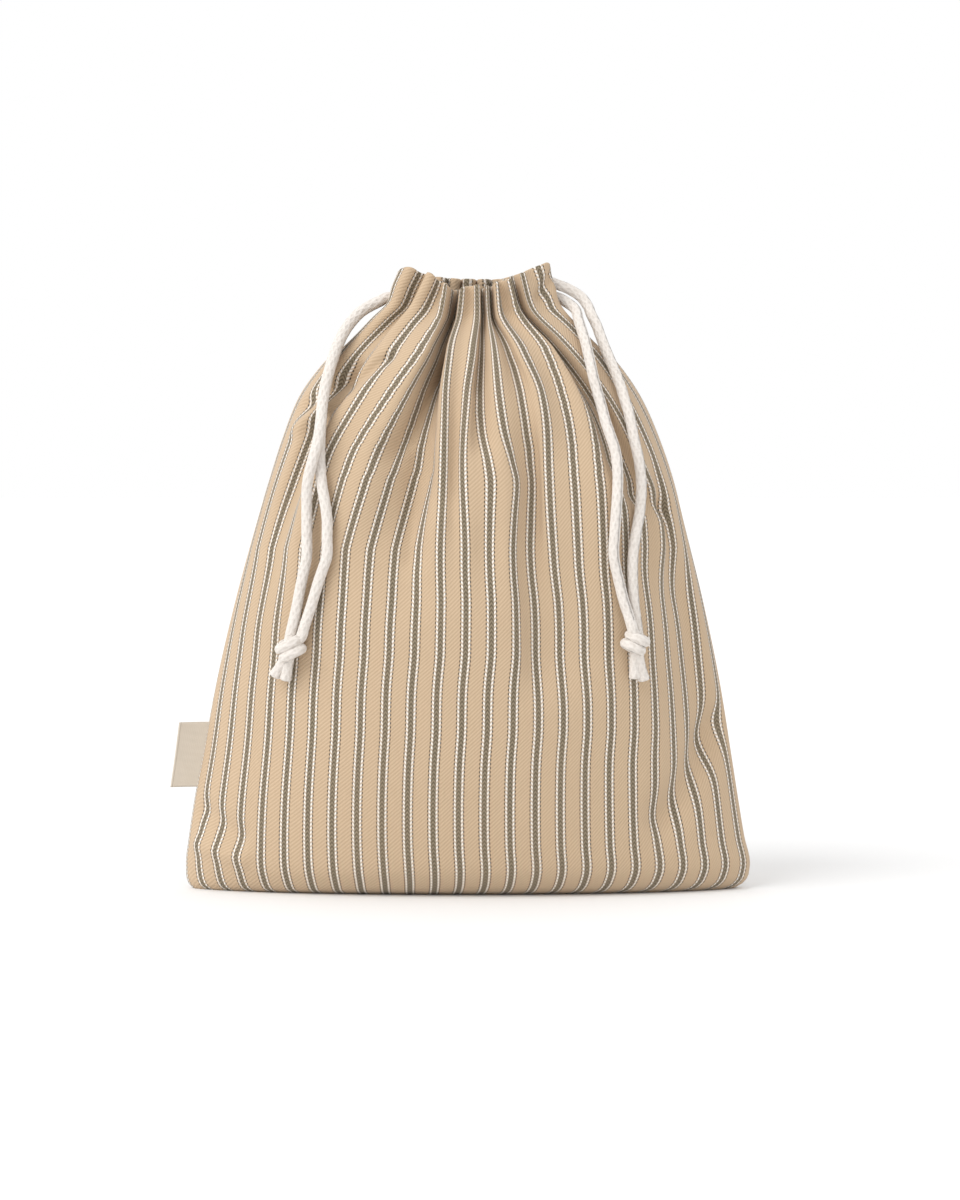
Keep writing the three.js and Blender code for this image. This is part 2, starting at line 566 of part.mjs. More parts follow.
// An overhand knot drawn tight: a core, a turn of cord wrapped round it and two cut tails.
function knotGeometry(knot) {
  const ball = Manifold.sphere(1, 16);
  const core = ball.scale(knot.core).translate(knot.at);
  const turn = CrossSection.circle(CORD / 2, CORD_SIDES).translate([knot.ring, 0]).revolve(20);
  const wrap = turn.rotate([0, knot.tilt, 0]).scale([1, WRAP_FLAT, 1]).translate(knot.at);
  const cut = Manifold.sphere(CORD / 2, 12);
  const tails = knot.tails.map((end) => Manifold.hull([cut.translate(knot.at), cut.translate(end)]));
  const mesh = Manifold.union([core, wrap, ...tails]).getMesh();
  const geometry = new THREE.BufferGeometry();
  geometry.setAttribute("position", new THREE.BufferAttribute(mesh.vertProperties, 3));
  geometry.setIndex(new THREE.BufferAttribute(mesh.triVerts, 1));
  geometry.computeVertexNormals();
  return geometry;
}

// The label as a tape folded double, its fold outermost and its ends along the left seam.
function labelGeometry() {
  const half = LABEL_SLIT / 2 + LABEL_LAYER;
  const outline = new THREE.Shape();
  outline.moveTo(0, -half);
  outline.lineTo(-1, -half);
  outline.lineTo(-1, half);
  outline.lineTo(0, half);
  outline.lineTo(0, LABEL_SLIT / 2);
  outline.lineTo(-LABEL_FOLD, LABEL_SLIT / 2);
  outline.lineTo(-LABEL_FOLD, -LABEL_SLIT / 2);
  outline.lineTo(0, -LABEL_SLIT / 2);
  const geometry = new THREE.ExtrudeGeometry(outline, { depth: 1, steps: 5, bevelEnabled: false });
  const places = geometry.attributes.position;
  for (let i = 0; i < places.count; i++) {
    const z = lerp(LABEL_Z.foot, LABEL_Z.top, places.getZ(i));
    const out = lerp(LABEL_OUT.foot, LABEL_OUT.top, places.getZ(i)) * places.getX(i);
    places.setX(i, valueAt(LEVELS, "z", "left", z) - GAP + out);
    places.setZ(i, z);
  }
  geometry.computeVertexNormals();
  return geometry;
}

const bag = new THREE.Group();

function addMesh(name, geometry, color) {
  const material = new THREE.MeshStandardMaterial({ color, roughness: MATT, metalness: 0 });
  const mesh = new THREE.Mesh(geometry, material);
  mesh.name = name;
  bag.add(mesh);
}

const TICKING_COLOUR = 0xd9bb96;
const CORD_COLOUR = 0xf0e9e4;
const LABEL_COLOUR = 0xcdc3b4;
const MATT = 0.9; // roughness of cloth, cord and label
const PANELS = {
  front_panel: { side: -1, crests: FRONT_CRESTS, softs: FRONT_SOFT, buckles: FRONT_BUCKLES, rim: FRONT_RIM },
  back_panel: { side: 1, crests: BACK_CRESTS, softs: BACK_SOFT, buckles: BACK_BUCKLES, rim: BACK_RIM },
};
for (const [name, panel] of Object.entries(PANELS)) addMesh(name, panelGeometry(panel), TICKING_COLOUR);
for (const [name, route] of Object.entries(STRANDS)) addMesh(name, cordGeometry(route), CORD_COLOUR);
for (const [name, knot] of Object.entries(KNOTS)) addMesh(name, knotGeometry(knot), CORD_COLOUR);
addMesh("label", labelGeometry(), LABEL_COLOUR);

export default bag;
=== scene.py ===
import math
from collections import namedtuple

import bpy
import numpy as np
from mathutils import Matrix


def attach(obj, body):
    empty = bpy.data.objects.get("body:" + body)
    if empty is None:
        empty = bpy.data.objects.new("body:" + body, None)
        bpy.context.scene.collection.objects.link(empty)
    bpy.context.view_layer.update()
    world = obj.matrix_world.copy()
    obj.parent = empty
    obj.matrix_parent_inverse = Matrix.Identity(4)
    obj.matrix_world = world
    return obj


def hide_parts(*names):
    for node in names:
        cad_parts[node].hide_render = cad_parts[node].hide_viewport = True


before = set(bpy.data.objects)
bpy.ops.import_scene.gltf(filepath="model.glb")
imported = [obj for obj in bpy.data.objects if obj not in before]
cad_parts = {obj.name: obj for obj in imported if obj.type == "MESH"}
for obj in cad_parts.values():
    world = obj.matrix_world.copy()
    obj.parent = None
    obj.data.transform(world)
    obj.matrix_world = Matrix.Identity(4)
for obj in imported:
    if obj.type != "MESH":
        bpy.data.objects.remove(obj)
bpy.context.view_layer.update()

# The cloth, in the sizes of the solids apart from a thicker hem
PITCH = 0.0117  # one repeat of the stripe, which also counts the places of the folds
PANEL_STRIPES = 24.6  # repeats of the stripe in one panel from seam to seam
PANEL_WIDTH = PANEL_STRIPES * PITCH  # cloth of one panel from seam to seam
CLOTH = 0.0012  # thickness of the cloth
HEM = 0.0018  # thickness of the turned-in rim
HEM_START = 0.262  # height where the cloth starts to thicken to the hem
HEM_EASE = 0.01  # height over which it thickens
RIM = 0.288  # mean height of the rim
RIM_LIFT_START = 0.25  # height from which the rows follow the uneven rim more and more
SEAM_SHORT = 0.96  # share of the footprint's length that the seam under the base takes
SEAM_GROOVE = 0.044  # cloth width of the groove at each side seam, across both panels
SEAM_SLOPE = 1.3  # steepest slope in that groove, in radians
GROOVE_START = 0.246  # height where the groove starts, and where it is full
GROOVE_FULL = 0.272
SOFT_EASE = 0.03  # height over which a soft fold sets in, and over which it ends
SEAM_EASE = 0.012  # cloth width beside a side seam in which the creases fade out
TIGHTEST = 1.5  # largest slope that a trough's flank may reach, in radians
EASE_IN = 0.03  # share of spare cloth over which a trough sets in softly
GATHER_START = 0.12  # height where the troughs between the crests start, and where they are full
GATHER_FULL = 0.19

# Points across a panel, and the heights of its rows, which lie close where the cloth turns
COLUMNS = 240
HEIGHTS = np.concatenate([
    np.linspace(0.0007, 0.012, 9), np.linspace(0.0145, 0.2, 76), np.linspace(0.2017, RIM, 62),
])
FLAT_SHARES = (0, 0.25, 0.5, 0.75)  # rows under the base, from its seam out to the footprint's edge
ROLL_STEPS = 4  # rows round the rolled edge of the rim
FINE = 600  # steps across the cloth when the gathers are worked out
OUTLINE_STEPS = 400  # steps along the outline at one height
STEEP_STEPS = 200  # slopes from flat to the tightest that a flank's shares are worked out for
FLANK_STEPS = 60  # steps along such a flank
SHORTEST = 1e-12  # length below which a vector has no direction

# Outline by height: the side seams, the depth in front of or behind them, how square the middle is, and
# how blunt the tips at the seams are
Level = namedtuple("Level", "z left right depth square tip")
LEVELS = [
    Level(0, -0.125, 0.129, 0.024, 2.2, 0.68),
    Level(0.002, -0.127, 0.133, 0.031, 2.2, 0.68),
    Level(0.006, -0.1282, 0.136, 0.036, 2.2, 0.68),
    Level(0.012, -0.1284, 0.1368, 0.041, 2.2, 0.68),
    Level(0.024, -0.127, 0.1342, 0.045, 2.2, 0.69),
    Level(0.042, -0.1243, 0.1312, 0.0495, 2.2, 0.7),
    Level(0.061, -0.1206, 0.1282, 0.0535, 2.2, 0.7),
    Level(0.098, -0.1136, 0.1222, 0.059, 2.2, 0.64),
    Level(0.136, -0.1046, 0.1142, 0.063, 2.3, 0.55),
    Level(0.173, -0.0943, 0.105, 0.065, 2.4, 0.47),
    Level(0.192, -0.0886, 0.1002, 0.064, 2.4, 0.44),
    Level(0.211, -0.0825, 0.0938, 0.06, 2.3, 0.44),
    Level(0.23, -0.075, 0.0854, 0.054, 2.2, 0.46),
    Level(0.248, -0.062, 0.073, 0.045, 2.0, 0.5),
    Level(0.258, -0.052, 0.063, 0.037, 2.0, 0.5),
    Level(0.267, -0.043, 0.053, 0.03, 2.0, 0.5),
    Level(0.274, -0.0355, 0.0478, 0.0265, 2.0, 0.5),
    Level(0.281, -0.034, 0.0468, 0.0255, 2.0, 0.5),
    Level(0.288, -0.0315, 0.045, 0.025, 2.0, 0.5),
]

# Crests of the gathered cloth: a count of stripes from the left seam at the neck and at its foot, the
# share of the way to the next crest where the trough between them has its bottom, and where it stands
# at each height
Crest = namedtuple("Crest", "neck foot bottom path")
Place = namedtuple("Place", "z x")
FRONT_CRESTS = [
    Crest(2.4, 2.4, 0.5, [
        Place(0.16, -0.0905), Place(0.18, -0.0852), Place(0.2, -0.0785), Place(0.229, -0.0665),
        Place(0.243, -0.058), Place(0.254, -0.0495), Place(0.266, -0.038), Place(0.273, -0.031),
        Place(0.281, -0.0275), Place(0.288, -0.0238),
    ]),
    Crest(4.5, 4.5, 0.5, [
        Place(0.16, -0.0755), Place(0.2, -0.0655), Place(0.229, -0.0505), Place(0.241, -0.043),
        Place(0.26, -0.0305), Place(0.273, -0.021), Place(0.288, -0.0132),
    ]),
    Crest(6, 6.5, 0.64, [
        Place(0.16, -0.0558), Place(0.2, -0.0442), Place(0.23, -0.028), Place(0.24, -0.022),
        Place(0.251, -0.0155), Place(0.273, -0.0078), Place(0.288, -0.006),
    ]),
    Crest(11, 11, 0.5, [
        Place(0.16, -0.0083), Place(0.2, -0.0066), Place(0.23, -0.0062), Place(0.251, -0.0044),
        Place(0.273, -0.0003), Place(0.288, 0.001),
    ]),
    Crest(12.1, 12.1, 0.38, [
        Place(0.16, 0.0042), Place(0.2, 0.0027), Place(0.23, 0.0046), Place(0.251, 0.0076),
        Place(0.273, 0.0095), Place(0.288, 0.0092),
    ]),
    Crest(14, 14, 0.7, [
        Place(0.16, 0.0247), Place(0.176, 0.0258), Place(0.19, 0.0268), Place(0.2, 0.0246),
        Place(0.215, 0.0205), Place(0.23, 0.0182), Place(0.251, 0.0162),
        Place(0.273, 0.0138), Place(0.288, 0.0132),
    ]),
    Crest(15.8, 15.8, 0.5, [
        Place(0.16, 0.0405), Place(0.2, 0.0394), Place(0.23, 0.036), Place(0.251, 0.0275),
        Place(0.273, 0.018), Place(0.288, 0.017),
    ]),
    Crest(17, 18.2, 0.7, [
        Place(0.16, 0.0684), Place(0.185, 0.0672), Place(0.206, 0.0644), Place(0.218, 0.061),
        Place(0.23, 0.056), Place(0.251, 0.0445), Place(0.273, 0.0285), Place(0.288, 0.0245),
    ]),
    Crest(21, 21, 0.5, [
        Place(0.16, 0.095), Place(0.178, 0.093), Place(0.189, 0.0888), Place(0.2, 0.0838),
        Place(0.218, 0.0752), Place(0.23, 0.0682), Place(0.243, 0.0585), Place(0.256, 0.0475),
        Place(0.273, 0.033), Place(0.288, 0.029),
    ]),
    Crest(22.3, 22.3, 0.5, [
        Place(0.16, 0.1015), Place(0.18, 0.0986), Place(0.2, 0.0925), Place(0.215, 0.0865),
        Place(0.23, 0.079), Place(0.25, 0.066), Place(0.262, 0.0545), Place(0.271, 0.0454),
        Place(0.281, 0.0424), Place(0.288, 0.04),
    ]),
]
BACK_CRESTS = [
    Crest(2.4, 2.4, 0.5, [
        Place(0.16, -0.0905), Place(0.18, -0.0852), Place(0.2, -0.0785), Place(0.229, -0.0665),
        Place(0.243, -0.058), Place(0.254, -0.0495), Place(0.266, -0.038), Place(0.273, -0.032),
        Place(0.281, -0.0295), Place(0.288, -0.0265),
    ]),
    Crest(4.6, 4.6, 0.5, [
        Place(0.16, -0.0747), Place(0.2, -0.0645), Place(0.23, -0.049), Place(0.255, -0.031),
        Place(0.273, -0.02), Place(0.288, -0.015),
    ]),
    Crest(7.1, 7.2, 0.6, [
        Place(0.16, -0.0474), Place(0.2, -0.0425), Place(0.23, -0.032), Place(0.255, -0.0185),
        Place(0.273, -0.0105), Place(0.288, -0.0075),
    ]),
    Crest(9.7, 9.6, 0.5, [
        Place(0.16, -0.026), Place(0.2, -0.02), Place(0.23, -0.013), Place(0.255, -0.006),
        Place(0.273, -0.0015), Place(0.288, 0),
    ]),
    Crest(12.5, 12.4, 0.4, [
        Place(0.16, 0.0055), Place(0.2, 0.008), Place(0.23, 0.0095), Place(0.255, 0.009),
        Place(0.273, 0.0085), Place(0.288, 0.0085),
    ]),
    Crest(15.1, 15.2, 0.5, [
        Place(0.16, 0.0365), Place(0.2, 0.0358), Place(0.23, 0.032), Place(0.255, 0.0225),
        Place(0.273, 0.0175), Place(0.288, 0.0165),
    ]),
    Crest(17.6, 17.8, 0.6, [
        Place(0.16, 0.0625), Place(0.2, 0.06), Place(0.23, 0.051), Place(0.255, 0.036),
        Place(0.273, 0.0265), Place(0.288, 0.024),
    ]),
    Crest(20.1, 20.2, 0.5, [
        Place(0.16, 0.086), Place(0.2, 0.0795), Place(0.23, 0.0665), Place(0.255, 0.049),
        Place(0.273, 0.035), Place(0.288, 0.031),
    ]),
    Crest(22.3, 22.3, 0.5, [
        Place(0.16, 0.1015), Place(0.18, 0.0986), Place(0.2, 0.0925), Place(0.215, 0.0865),
        Place(0.23, 0.079), Place(0.25, 0.066), Place(0.262, 0.0545), Place(0.271, 0.0454),
        Place(0.281, 0.0424), Place(0.288, 0.04),
    ]),
]

# Soft lengthwise folds: a trough's count of stripes at its top and foot, the cloth widths of its left and
# right flanks, the slope of the left one in radians, and the heights that it runs between
Soft = namedtuple("Soft", "top foot left right slope high low")
FRONT_SOFT = [
    Soft(14.6, 15.2, 0.015, 0.046, 0.75, 0.225, 0.085),
    Soft(22.0, 22.9, 0.04, 0.014, 0.22, 0.165, 0.05),
]
BACK_SOFT = [
    Soft(8.2, 7.6, 0.04, 0.018, 0.35, 0.19, 0.07),
    Soft(17.6, 18.4, 0.018, 0.044, 0.6, 0.18, 0.06),
]

# Creases pressed into the cloth, from a high point to a low one in stripes and height; a ridge has a depth
# below zero
Crease = namedtuple("Crease", "start high end low width depth")
FRONT_CREASES = [
    Crease(23.7, 0.078, 20.3, 0.0365, 0.012, 0.0056),
    Crease(9.2, 0.168, 9.9, 0.142, 0.02, 0.0025),
    Crease(1.0, 0.038, 3.0, 0.027, 0.007, 0.0024),
    Crease(0.8, 0.022, 3.2, 0.0165, 0.006, -0.0025),
    Crease(19.8, 0.184, 21.6, 0.178, 0.007, 0.003),
    Crease(10.2, 0.196, 10.8, 0.182, 0.009, 0.0025),
    Crease(5.0, 0.262, 5.1, 0.248, 0.004, 0.0025),
    Crease(4.9, 0.246, 4.2, 0.233, 0.005, 0.004),
    Crease(3.4, 0.243, 3.9, 0.228, 0.005, 0.003),
    Crease(3.5, 0.238, 2.0, 0.226, 0.006, 0.0042),
    Crease(3.3, 0.224, 2.2, 0.216, 0.006, -0.0025),
    Crease(8.3, 0.285, 8.6, 0.268, 0.003, -0.003),
    Crease(9.6, 0.282, 9.4, 0.266, 0.003, 0.002),
    Crease(9.6, 0.264, 9.1, 0.24, 0.01, 0.006),
    Crease(9.1, 0.24, 7.8, 0.206, 0.011, 0.006),
    Crease(8.9, 0.2, 9.8, 0.158, 0.008, 0.003),
    Crease(22.7, 0.283, 21.6, 0.276, 0.004, 0.0028),
    Crease(12.55, 0.262, 12.6, 0.234, 0.006, 0.004),
    Crease(18.0, 0.26, 18.9, 0.2, 0.008, 0.004),
]
BACK_CREASES = [
    Crease(2.2, 0.12, 3.4, 0.06, 0.016, 0.004),
    Crease(21.6, 0.09, 20.4, 0.04, 0.016, 0.004),
]

# Height of the rim above or below its mean, by count of stripes from the left seam
Rim = namedtuple("Rim", "at lift")
FRONT_RIM = [
    Rim(0, -0.005), Rim(1, -0.0022), Rim(2.3, 0.0018), Rim(3.3, -0.0016), Rim(4.2, -0.0008),
    Rim(5.2, -0.0055), Rim(6, -0.0068), Rim(7.4, -0.0092), Rim(8.8, -0.0078), Rim(10, -0.0096),
    Rim(11.2, -0.0082), Rim(12.1, -0.007), Rim(13, -0.0086), Rim(14, -0.0073), Rim(15, -0.0077),
    Rim(16, -0.0056), Rim(17.5, -0.0042), Rim(19, -0.0034), Rim(21, -0.0015), Rim(22.7, 0.0038),
    Rim(23.8, 0.0022), Rim(24.6, -0.004),
]
BACK_RIM = [
    Rim(0, -0.005), Rim(1.5, -0.002), Rim(4, -0.0015), Rim(9, -0.0022), Rim(16, -0.0025),
    Rim(20, -0.0026), Rim(23, 0.002), Rim(24.6, -0.004),
]

Panel = namedtuple("Panel", "name side crests softs creases rim")
PANELS = [
    Panel("front_panel", -1, FRONT_CRESTS, FRONT_SOFT, FRONT_CREASES, FRONT_RIM),
    Panel("back_panel", 1, BACK_CRESTS, BACK_SOFT, BACK_CREASES, BACK_RIM),
]

# The drawcord: a braid of yarns that climb round it both ways
CORD = 0.005  # thickness
CORD_SIDES = 24  # points round it
RING_STEP = 0.0008  # distance from one ring of points to the next
PATH_STEPS = 40  # steps along its curve for each point that the curve goes through
ASIDE = (0.3, 0.9, 0.2)  # a direction that no strand starts in, which sets how its first ring is turned
BRAID_CARRIERS = 6  # yarns that climb each way
BRAID_STITCH = 0.0062  # length of one stitch along the cord
BRAID_DEPTH = 0.08  # depth of the hollows between yarns, as a share of the radius
FRAY = 1.12  # how much wider the cut end of a tail is

# How a knot is tied: its strands pass through the middle to their tails, and two wraps go round them
PASS_ASIDE = 0.35  # how far aside of the middle a strand passes, as a share of that at its end
PASS_ABOVE = 0.002  # how far above the middle it passes
TAIL_BEND = 0.45  # share of the way from the middle to a tail's cut end where the tail bends
WRAP_FLAT = 0.8  # depth of a wrap as a share of its width
WRAP_TURNS = 1.15  # turns that a wrap takes
WRAP_CLIMB = 0.0012  # how far a wrap climbs from its start to its end
WRAP_SPACING = 0.86  # distance between the two wraps, in cord thicknesses
WRAP_STEPS = 60  # points along a wrap
TUCK = 0.6  # how far the ends of a wrap tuck in, as a share of its radius
TUCK_SHARE = 0.14  # share of a wrap over which each end tucks in

# Middle lines of the strands, from the groove at the end of the neck down to their knot, as in the solids
STRANDS = {
    "cord_left_a": [
        (-0.0345, -0.0028, 0.2766), (-0.037, -0.0038, 0.2752), (-0.042, -0.0058, 0.2726),
        (-0.046, -0.0085, 0.2698), (-0.0498, -0.012, 0.2655), (-0.0532, -0.0186, 0.26),
        (-0.0557, -0.0252, 0.254), (-0.0575, -0.031, 0.2482), (-0.059, -0.035, 0.2422),
        (-0.0604, -0.038, 0.2366), (-0.0618, -0.0432, 0.2275), (-0.0624, -0.0496, 0.2179),
        (-0.0636, -0.0536, 0.2086), (-0.066, -0.0554, 0.1996), (-0.0682, -0.0538, 0.19),
        (-0.0686, -0.0518, 0.179), (-0.0686, -0.0519, 0.1676), (-0.0687, -0.0519, 0.157),
        (-0.07, -0.0511, 0.1503), (-0.0714, -0.0502, 0.144), (-0.0738, -0.0492, 0.132),
        (-0.0764, -0.0486, 0.1209),
    ],
    "cord_left_b": [
        (-0.0345, 0.0028, 0.2766), (-0.037, 0.002, 0.2752), (-0.042, 0.0008, 0.2726),
        (-0.046, -0.0015, 0.2698), (-0.0498, -0.005, 0.2655), (-0.0532, -0.011, 0.26),
        (-0.0557, -0.0174, 0.254), (-0.0575, -0.0234, 0.2482), (-0.0592, -0.0276, 0.2422),
        (-0.0604, -0.0308, 0.2366), (-0.0619, -0.0356, 0.2275), (-0.0625, -0.042, 0.2179),
        (-0.0628, -0.0472, 0.2085), (-0.0626, -0.0506, 0.199), (-0.0616, -0.0534, 0.189),
        (-0.0602, -0.0554, 0.1814), (-0.0592, -0.0565, 0.174), (-0.0592, -0.0568, 0.1656),
        (-0.0593, -0.0566, 0.1574), (-0.061, -0.0558, 0.152), (-0.063, -0.0546, 0.1464),
        (-0.0662, -0.0528, 0.136), (-0.0692, -0.0512, 0.127), (-0.0714, -0.0506, 0.1203),
    ],
    "cord_right_a": [
        (0.043, 0, 0.284), (0.046, 0, 0.283), (0.0516, 0.0004, 0.2808), (0.057, -0.0008, 0.2772),
        (0.06, -0.0034, 0.273), (0.0617, -0.007, 0.2685), (0.064, -0.01, 0.2635), (0.0658, -0.014, 0.258),
        (0.0678, -0.0188, 0.2522), (0.07, -0.0234, 0.2465), (0.0722, -0.0274, 0.2408),
        (0.0743, -0.0312, 0.2348), (0.0759, -0.0346, 0.229), (0.0777, -0.0374, 0.2228),
        (0.079, -0.0399, 0.2165), (0.08, -0.0419, 0.2105), (0.082, -0.0438, 0.2015),
        (0.0833, -0.0442, 0.19), (0.0826, -0.0462, 0.1783), (0.0806, -0.0506, 0.1672),
        (0.0792, -0.0519, 0.1572), (0.0792, -0.0514, 0.144), (0.0802, -0.0502, 0.132),
        (0.0814, -0.0496, 0.1236),
    ],
    "cord_right_b": [
        (0.043, 0, 0.2775), (0.046, 0, 0.277), (0.051, -0.0034, 0.274), (0.0544, -0.0088, 0.2706),
        (0.0556, -0.0148, 0.2654), (0.057, -0.0204, 0.2603), (0.0584, -0.026, 0.255),
        (0.0594, -0.031, 0.2499), (0.0606, -0.0352, 0.244), (0.0617, -0.038, 0.2383),
        (0.0654, -0.0412, 0.2247), (0.067, -0.0452, 0.218), (0.0688, -0.048, 0.2125),
        (0.0713, -0.0504, 0.2043), (0.0722, -0.0527, 0.1949), (0.0721, -0.054, 0.188),
        (0.0717, -0.0554, 0.1813), (0.0708, -0.0565, 0.169), (0.0704, -0.0563, 0.1574),
        (0.0726, -0.0549, 0.1465), (0.075, -0.0545, 0.1369), (0.0776, -0.0548, 0.129),
        (0.0792, -0.055, 0.1234),
    ],
}

# The short run of each strand inside the slit in the side seam
INSIDE = {
    "cord_left_a": [(-0.0235, -0.0016, 0.2772), (-0.029, -0.0024, 0.2772)],
    "cord_left_b": [(-0.0235, 0.0016, 0.2772), (-0.029, 0.0024, 0.2772)],
    "cord_right_a": [(0.034, 0, 0.2842), (0.0385, 0, 0.2844)],
    "cord_right_b": [(0.034, 0, 0.2772), (0.0385, 0, 0.2775)],
}

# Knots: the middle, the radius, tilt in degrees and starting angle of the wraps, and the tails' cut ends
Knot = namedtuple("Knot", "name strands at ring tilt start tails")
KNOTS = [
    Knot("knot_left", ("cord_left_a", "cord_left_b"), (-0.0762, -0.0498, 0.1152), 0.0045, -24, 2.0,
         ((-0.0836, -0.0434, 0.1027), (-0.0786, -0.045, 0.101))),
    Knot("knot_right", ("cord_right_a", "cord_right_b"), (0.0802, -0.0526, 0.118), 0.0038, 28, 1.0,
         ((0.0844, -0.0468, 0.101), (0.0803, -0.048, 0.102))),
]

# The label: a tape folded double whose ends go into the left seam
LABEL_LAYER = 0.0007  # thickness of one layer
LABEL_SLIT = 0.0005  # gap between its two layers
LABEL_FOOT, LABEL_TOP = 0.0478, 0.0783  # heights of its edges
LABEL_OUT_FOOT, LABEL_OUT_TOP = 0.0124, 0.014  # how far it stands out of the seam at those edges
LABEL_SEWN_IN = 0.0006  # how far its ends go into the seam
LABEL_BOW = 0.0012  # how far its fold bends forward at the top
LABEL_BOW_FOOT = 0.4  # share of that bend at its foot
LABEL_SAG = -0.0002  # height of its fold above its ends, below zero as it hangs
LABEL_COLUMNS, LABEL_ROWS = 24, 36  # points along a layer and up the tape
FOLD_STEPS = 9  # points round the fold

# The ticking: half widths of its bands from the middle of a stripe, and the lengths of its weaves
OLIVE_HALF = 0.0012
WHITE_HALF = 0.0021
DARK_HALF = 0.00265
EDGE_SOFT = 0.00016  # how far the edge of a band blends to each side
TWILL = 0.0019
HERRINGBONE = 0.002
ROPE = 0.0019
HERRINGBONE_SLANT = 1.5  # lengthwise shift of a weave for each step away from the stripe's middle
ROPE_SLANT = -0.9
DASH_EDGE, DASH_SOFT = 0.55, 0.25  # how much of a rope's wave is a dark dash, and its soft edge
SLUB_ACROSS, SLUB_ALONG = 2600, 160  # uneven threads to a metre, across and along the cloth
WORN_SCALE, WORN_DETAIL = 34.0, 3.0  # noise of the worn patches

# How strongly each weave shades the ticking and stands out of it; a pair is a gain and an offset
TWILL_SHADE = 0.55
SLUB_SHADE = (0.5, -0.12)
HERRINGBONE_SHADE = (0.6, 0.2)
ROPE_SHADE = 0.9
ROPE_POWER = 2.0  # narrows the dark gaps between the turns of a rope
WORN_SHADE = (0.22, -0.05)
TWILL_RELIEF = 0.6
SLUB_RELIEF = 0.5
ROPE_RELIEF = (-0.5, 1.0)
CORDED_RELIEF = 0.8
THREAD = 0.00016  # depth of the threads

# The same for the braid of the drawcord, whose colour also carries painted shade in the hollows between its
# yarns
FUZZ_SCALE, FUZZ_DETAIL = 750.0, 4.0
FUZZ_SHADE = (1.6, -0.4)
# painted shade: darker colour in the hollows between the yarns, lighter on their crests
HOLLOW_PAINTED_SHADE = -0.35
FUZZ_RELIEF = 0.6
YARN = 0.00022  # depth of the yarns

# The same for the tape of the label
TAPE_RIB = 0.00055  # length of a rib up the tape
TAPE_WARP = TAPE_RIB * 1.6  # length of the weave along the tape
TAPE_WORN_SCALE, TAPE_WORN_DETAIL = 220.0, 3.0
WARP_SHADE = (0.4, 0.6)
WEAVE_SHADE = 0.35
TAPE_WORN_SHADE = 0.5
TAPE_THREAD = 0.00008  # depth of its weave

# Gloss of all the cloths, and the mottle of the floor
SHEEN_ROUGHNESS = 0.6
SPECULAR = 0.2
MOTTLE_SCALE = 6.0

# Colours, as shares of light
SAND_LIGHT = (0.59, 0.442, 0.298, 1)
SAND_DARK = (0.425, 0.305, 0.194, 1)
OLIVE_LIGHT = (0.33, 0.27, 0.185, 1)
OLIVE_DARK = (0.035, 0.027, 0.016, 1)
WHITE = (0.9, 0.85, 0.79, 1)
COTTON = (0.74, 0.69, 0.64, 1)
# darker cotton, used for random flecks and for the painted shade in the braid's hollows
COTTON_FLECK_AND_SHADE = (0.54, 0.485, 0.43, 1)
TAPE = (0.65, 0.575, 0.485, 1)
TAPE_DEEP = (0.53, 0.465, 0.38, 1)
FLOOR = (0.88, 0.88, 0.88, 1)
FLOOR_SHADE = (0.87, 0.87, 0.87, 1)

# The view, as the photo has it, and the light
LENS, SENSOR = 100, 36  # millimetres
DISTANCE = 1.563
ELEVATION = 2  # degrees
AIM = (0.00985, 0.1355)  # x and height of the point that the camera looks at
SURROUND = 1.0  # strength of the white light from all round
SUN_FROM = (-1.5, -1.2, 1.5)
SUN_SPREAD = 45  # degrees
SUN_POWER = 1.55
FLOOR_HALF = 40  # half the side of the floor


def eased(low, high, x):
    """A smooth rise from 0 at low to 1 at high."""
    t = np.clip((x - low) / (high - low), 0, 1)
    return t * t * (3 - 2 * t)


def value_at(table, key, column, places):
    """Smooth values of one column of a table at places along its key column, with no overshoot."""
    keys = np.array([getattr(row, key) for row in table], float)
    values = np.array([getattr(row, column) for row in table], float)
    places = np.clip(np.asarray(places, float), keys[0], keys[-1])
    slopes = np.diff(values) / np.diff(keys)
    before, after = slopes[:-1], slopes[1:]
    same_way = before * after > 0
    total = np.where(same_way, before + after, 1)
    tangents = np.concatenate([slopes[:1], np.where(same_way, 2 * before * after / total, 0), slopes[-1:]])
    i = np.clip(np.searchsorted(keys, places, side="right") - 1, 0, len(keys) - 2)
    span = keys[i + 1] - keys[i]
    t = (places - keys[i]) / span
    rise = t * t * (3 - 2 * t)
    bend = span * t * (1 - t) * (tangents[i] * (1 - t) - tangents[i + 1] * t)
    return values[i] * (1 - rise) + values[i + 1] * rise + bend


def outline_at(side, z):
    """Outline of one panel at a height without its folds, from the left seam to the right, and its run."""
    left, right, depth, square, tip = (float(value_at(LEVELS, "z", c, z)) for c in Level._fields[1:])
    across = np.sin(np.pi * (np.arange(OUTLINE_STEPS + 1) / OUTLINE_STEPS - 0.5))
    bulge = np.maximum(0, 1 - np.abs(across) ** square) ** tip
    points = np.stack([(left + right) / 2 + (right - left) / 2 * across, side * depth * bulge], 1)
    runs = np.concatenate([[0], np.cumsum(np.linalg.norm(np.diff(points, axis=0), axis=1))])
    return points, runs


# Shares of a flank's cloth width that it covers and that it goes down, by its steepness
STEEP = np.linspace(0, TIGHTEST, STEEP_STEPS)
FLANK = np.sin(np.pi * (np.arange(FLANK_STEPS) + 0.5) / FLANK_STEPS)
DRAWN = np.cos(STEEP[:, None] * FLANK).mean(1)
SUNK = np.sin(STEEP[:, None] * FLANK).mean(1)


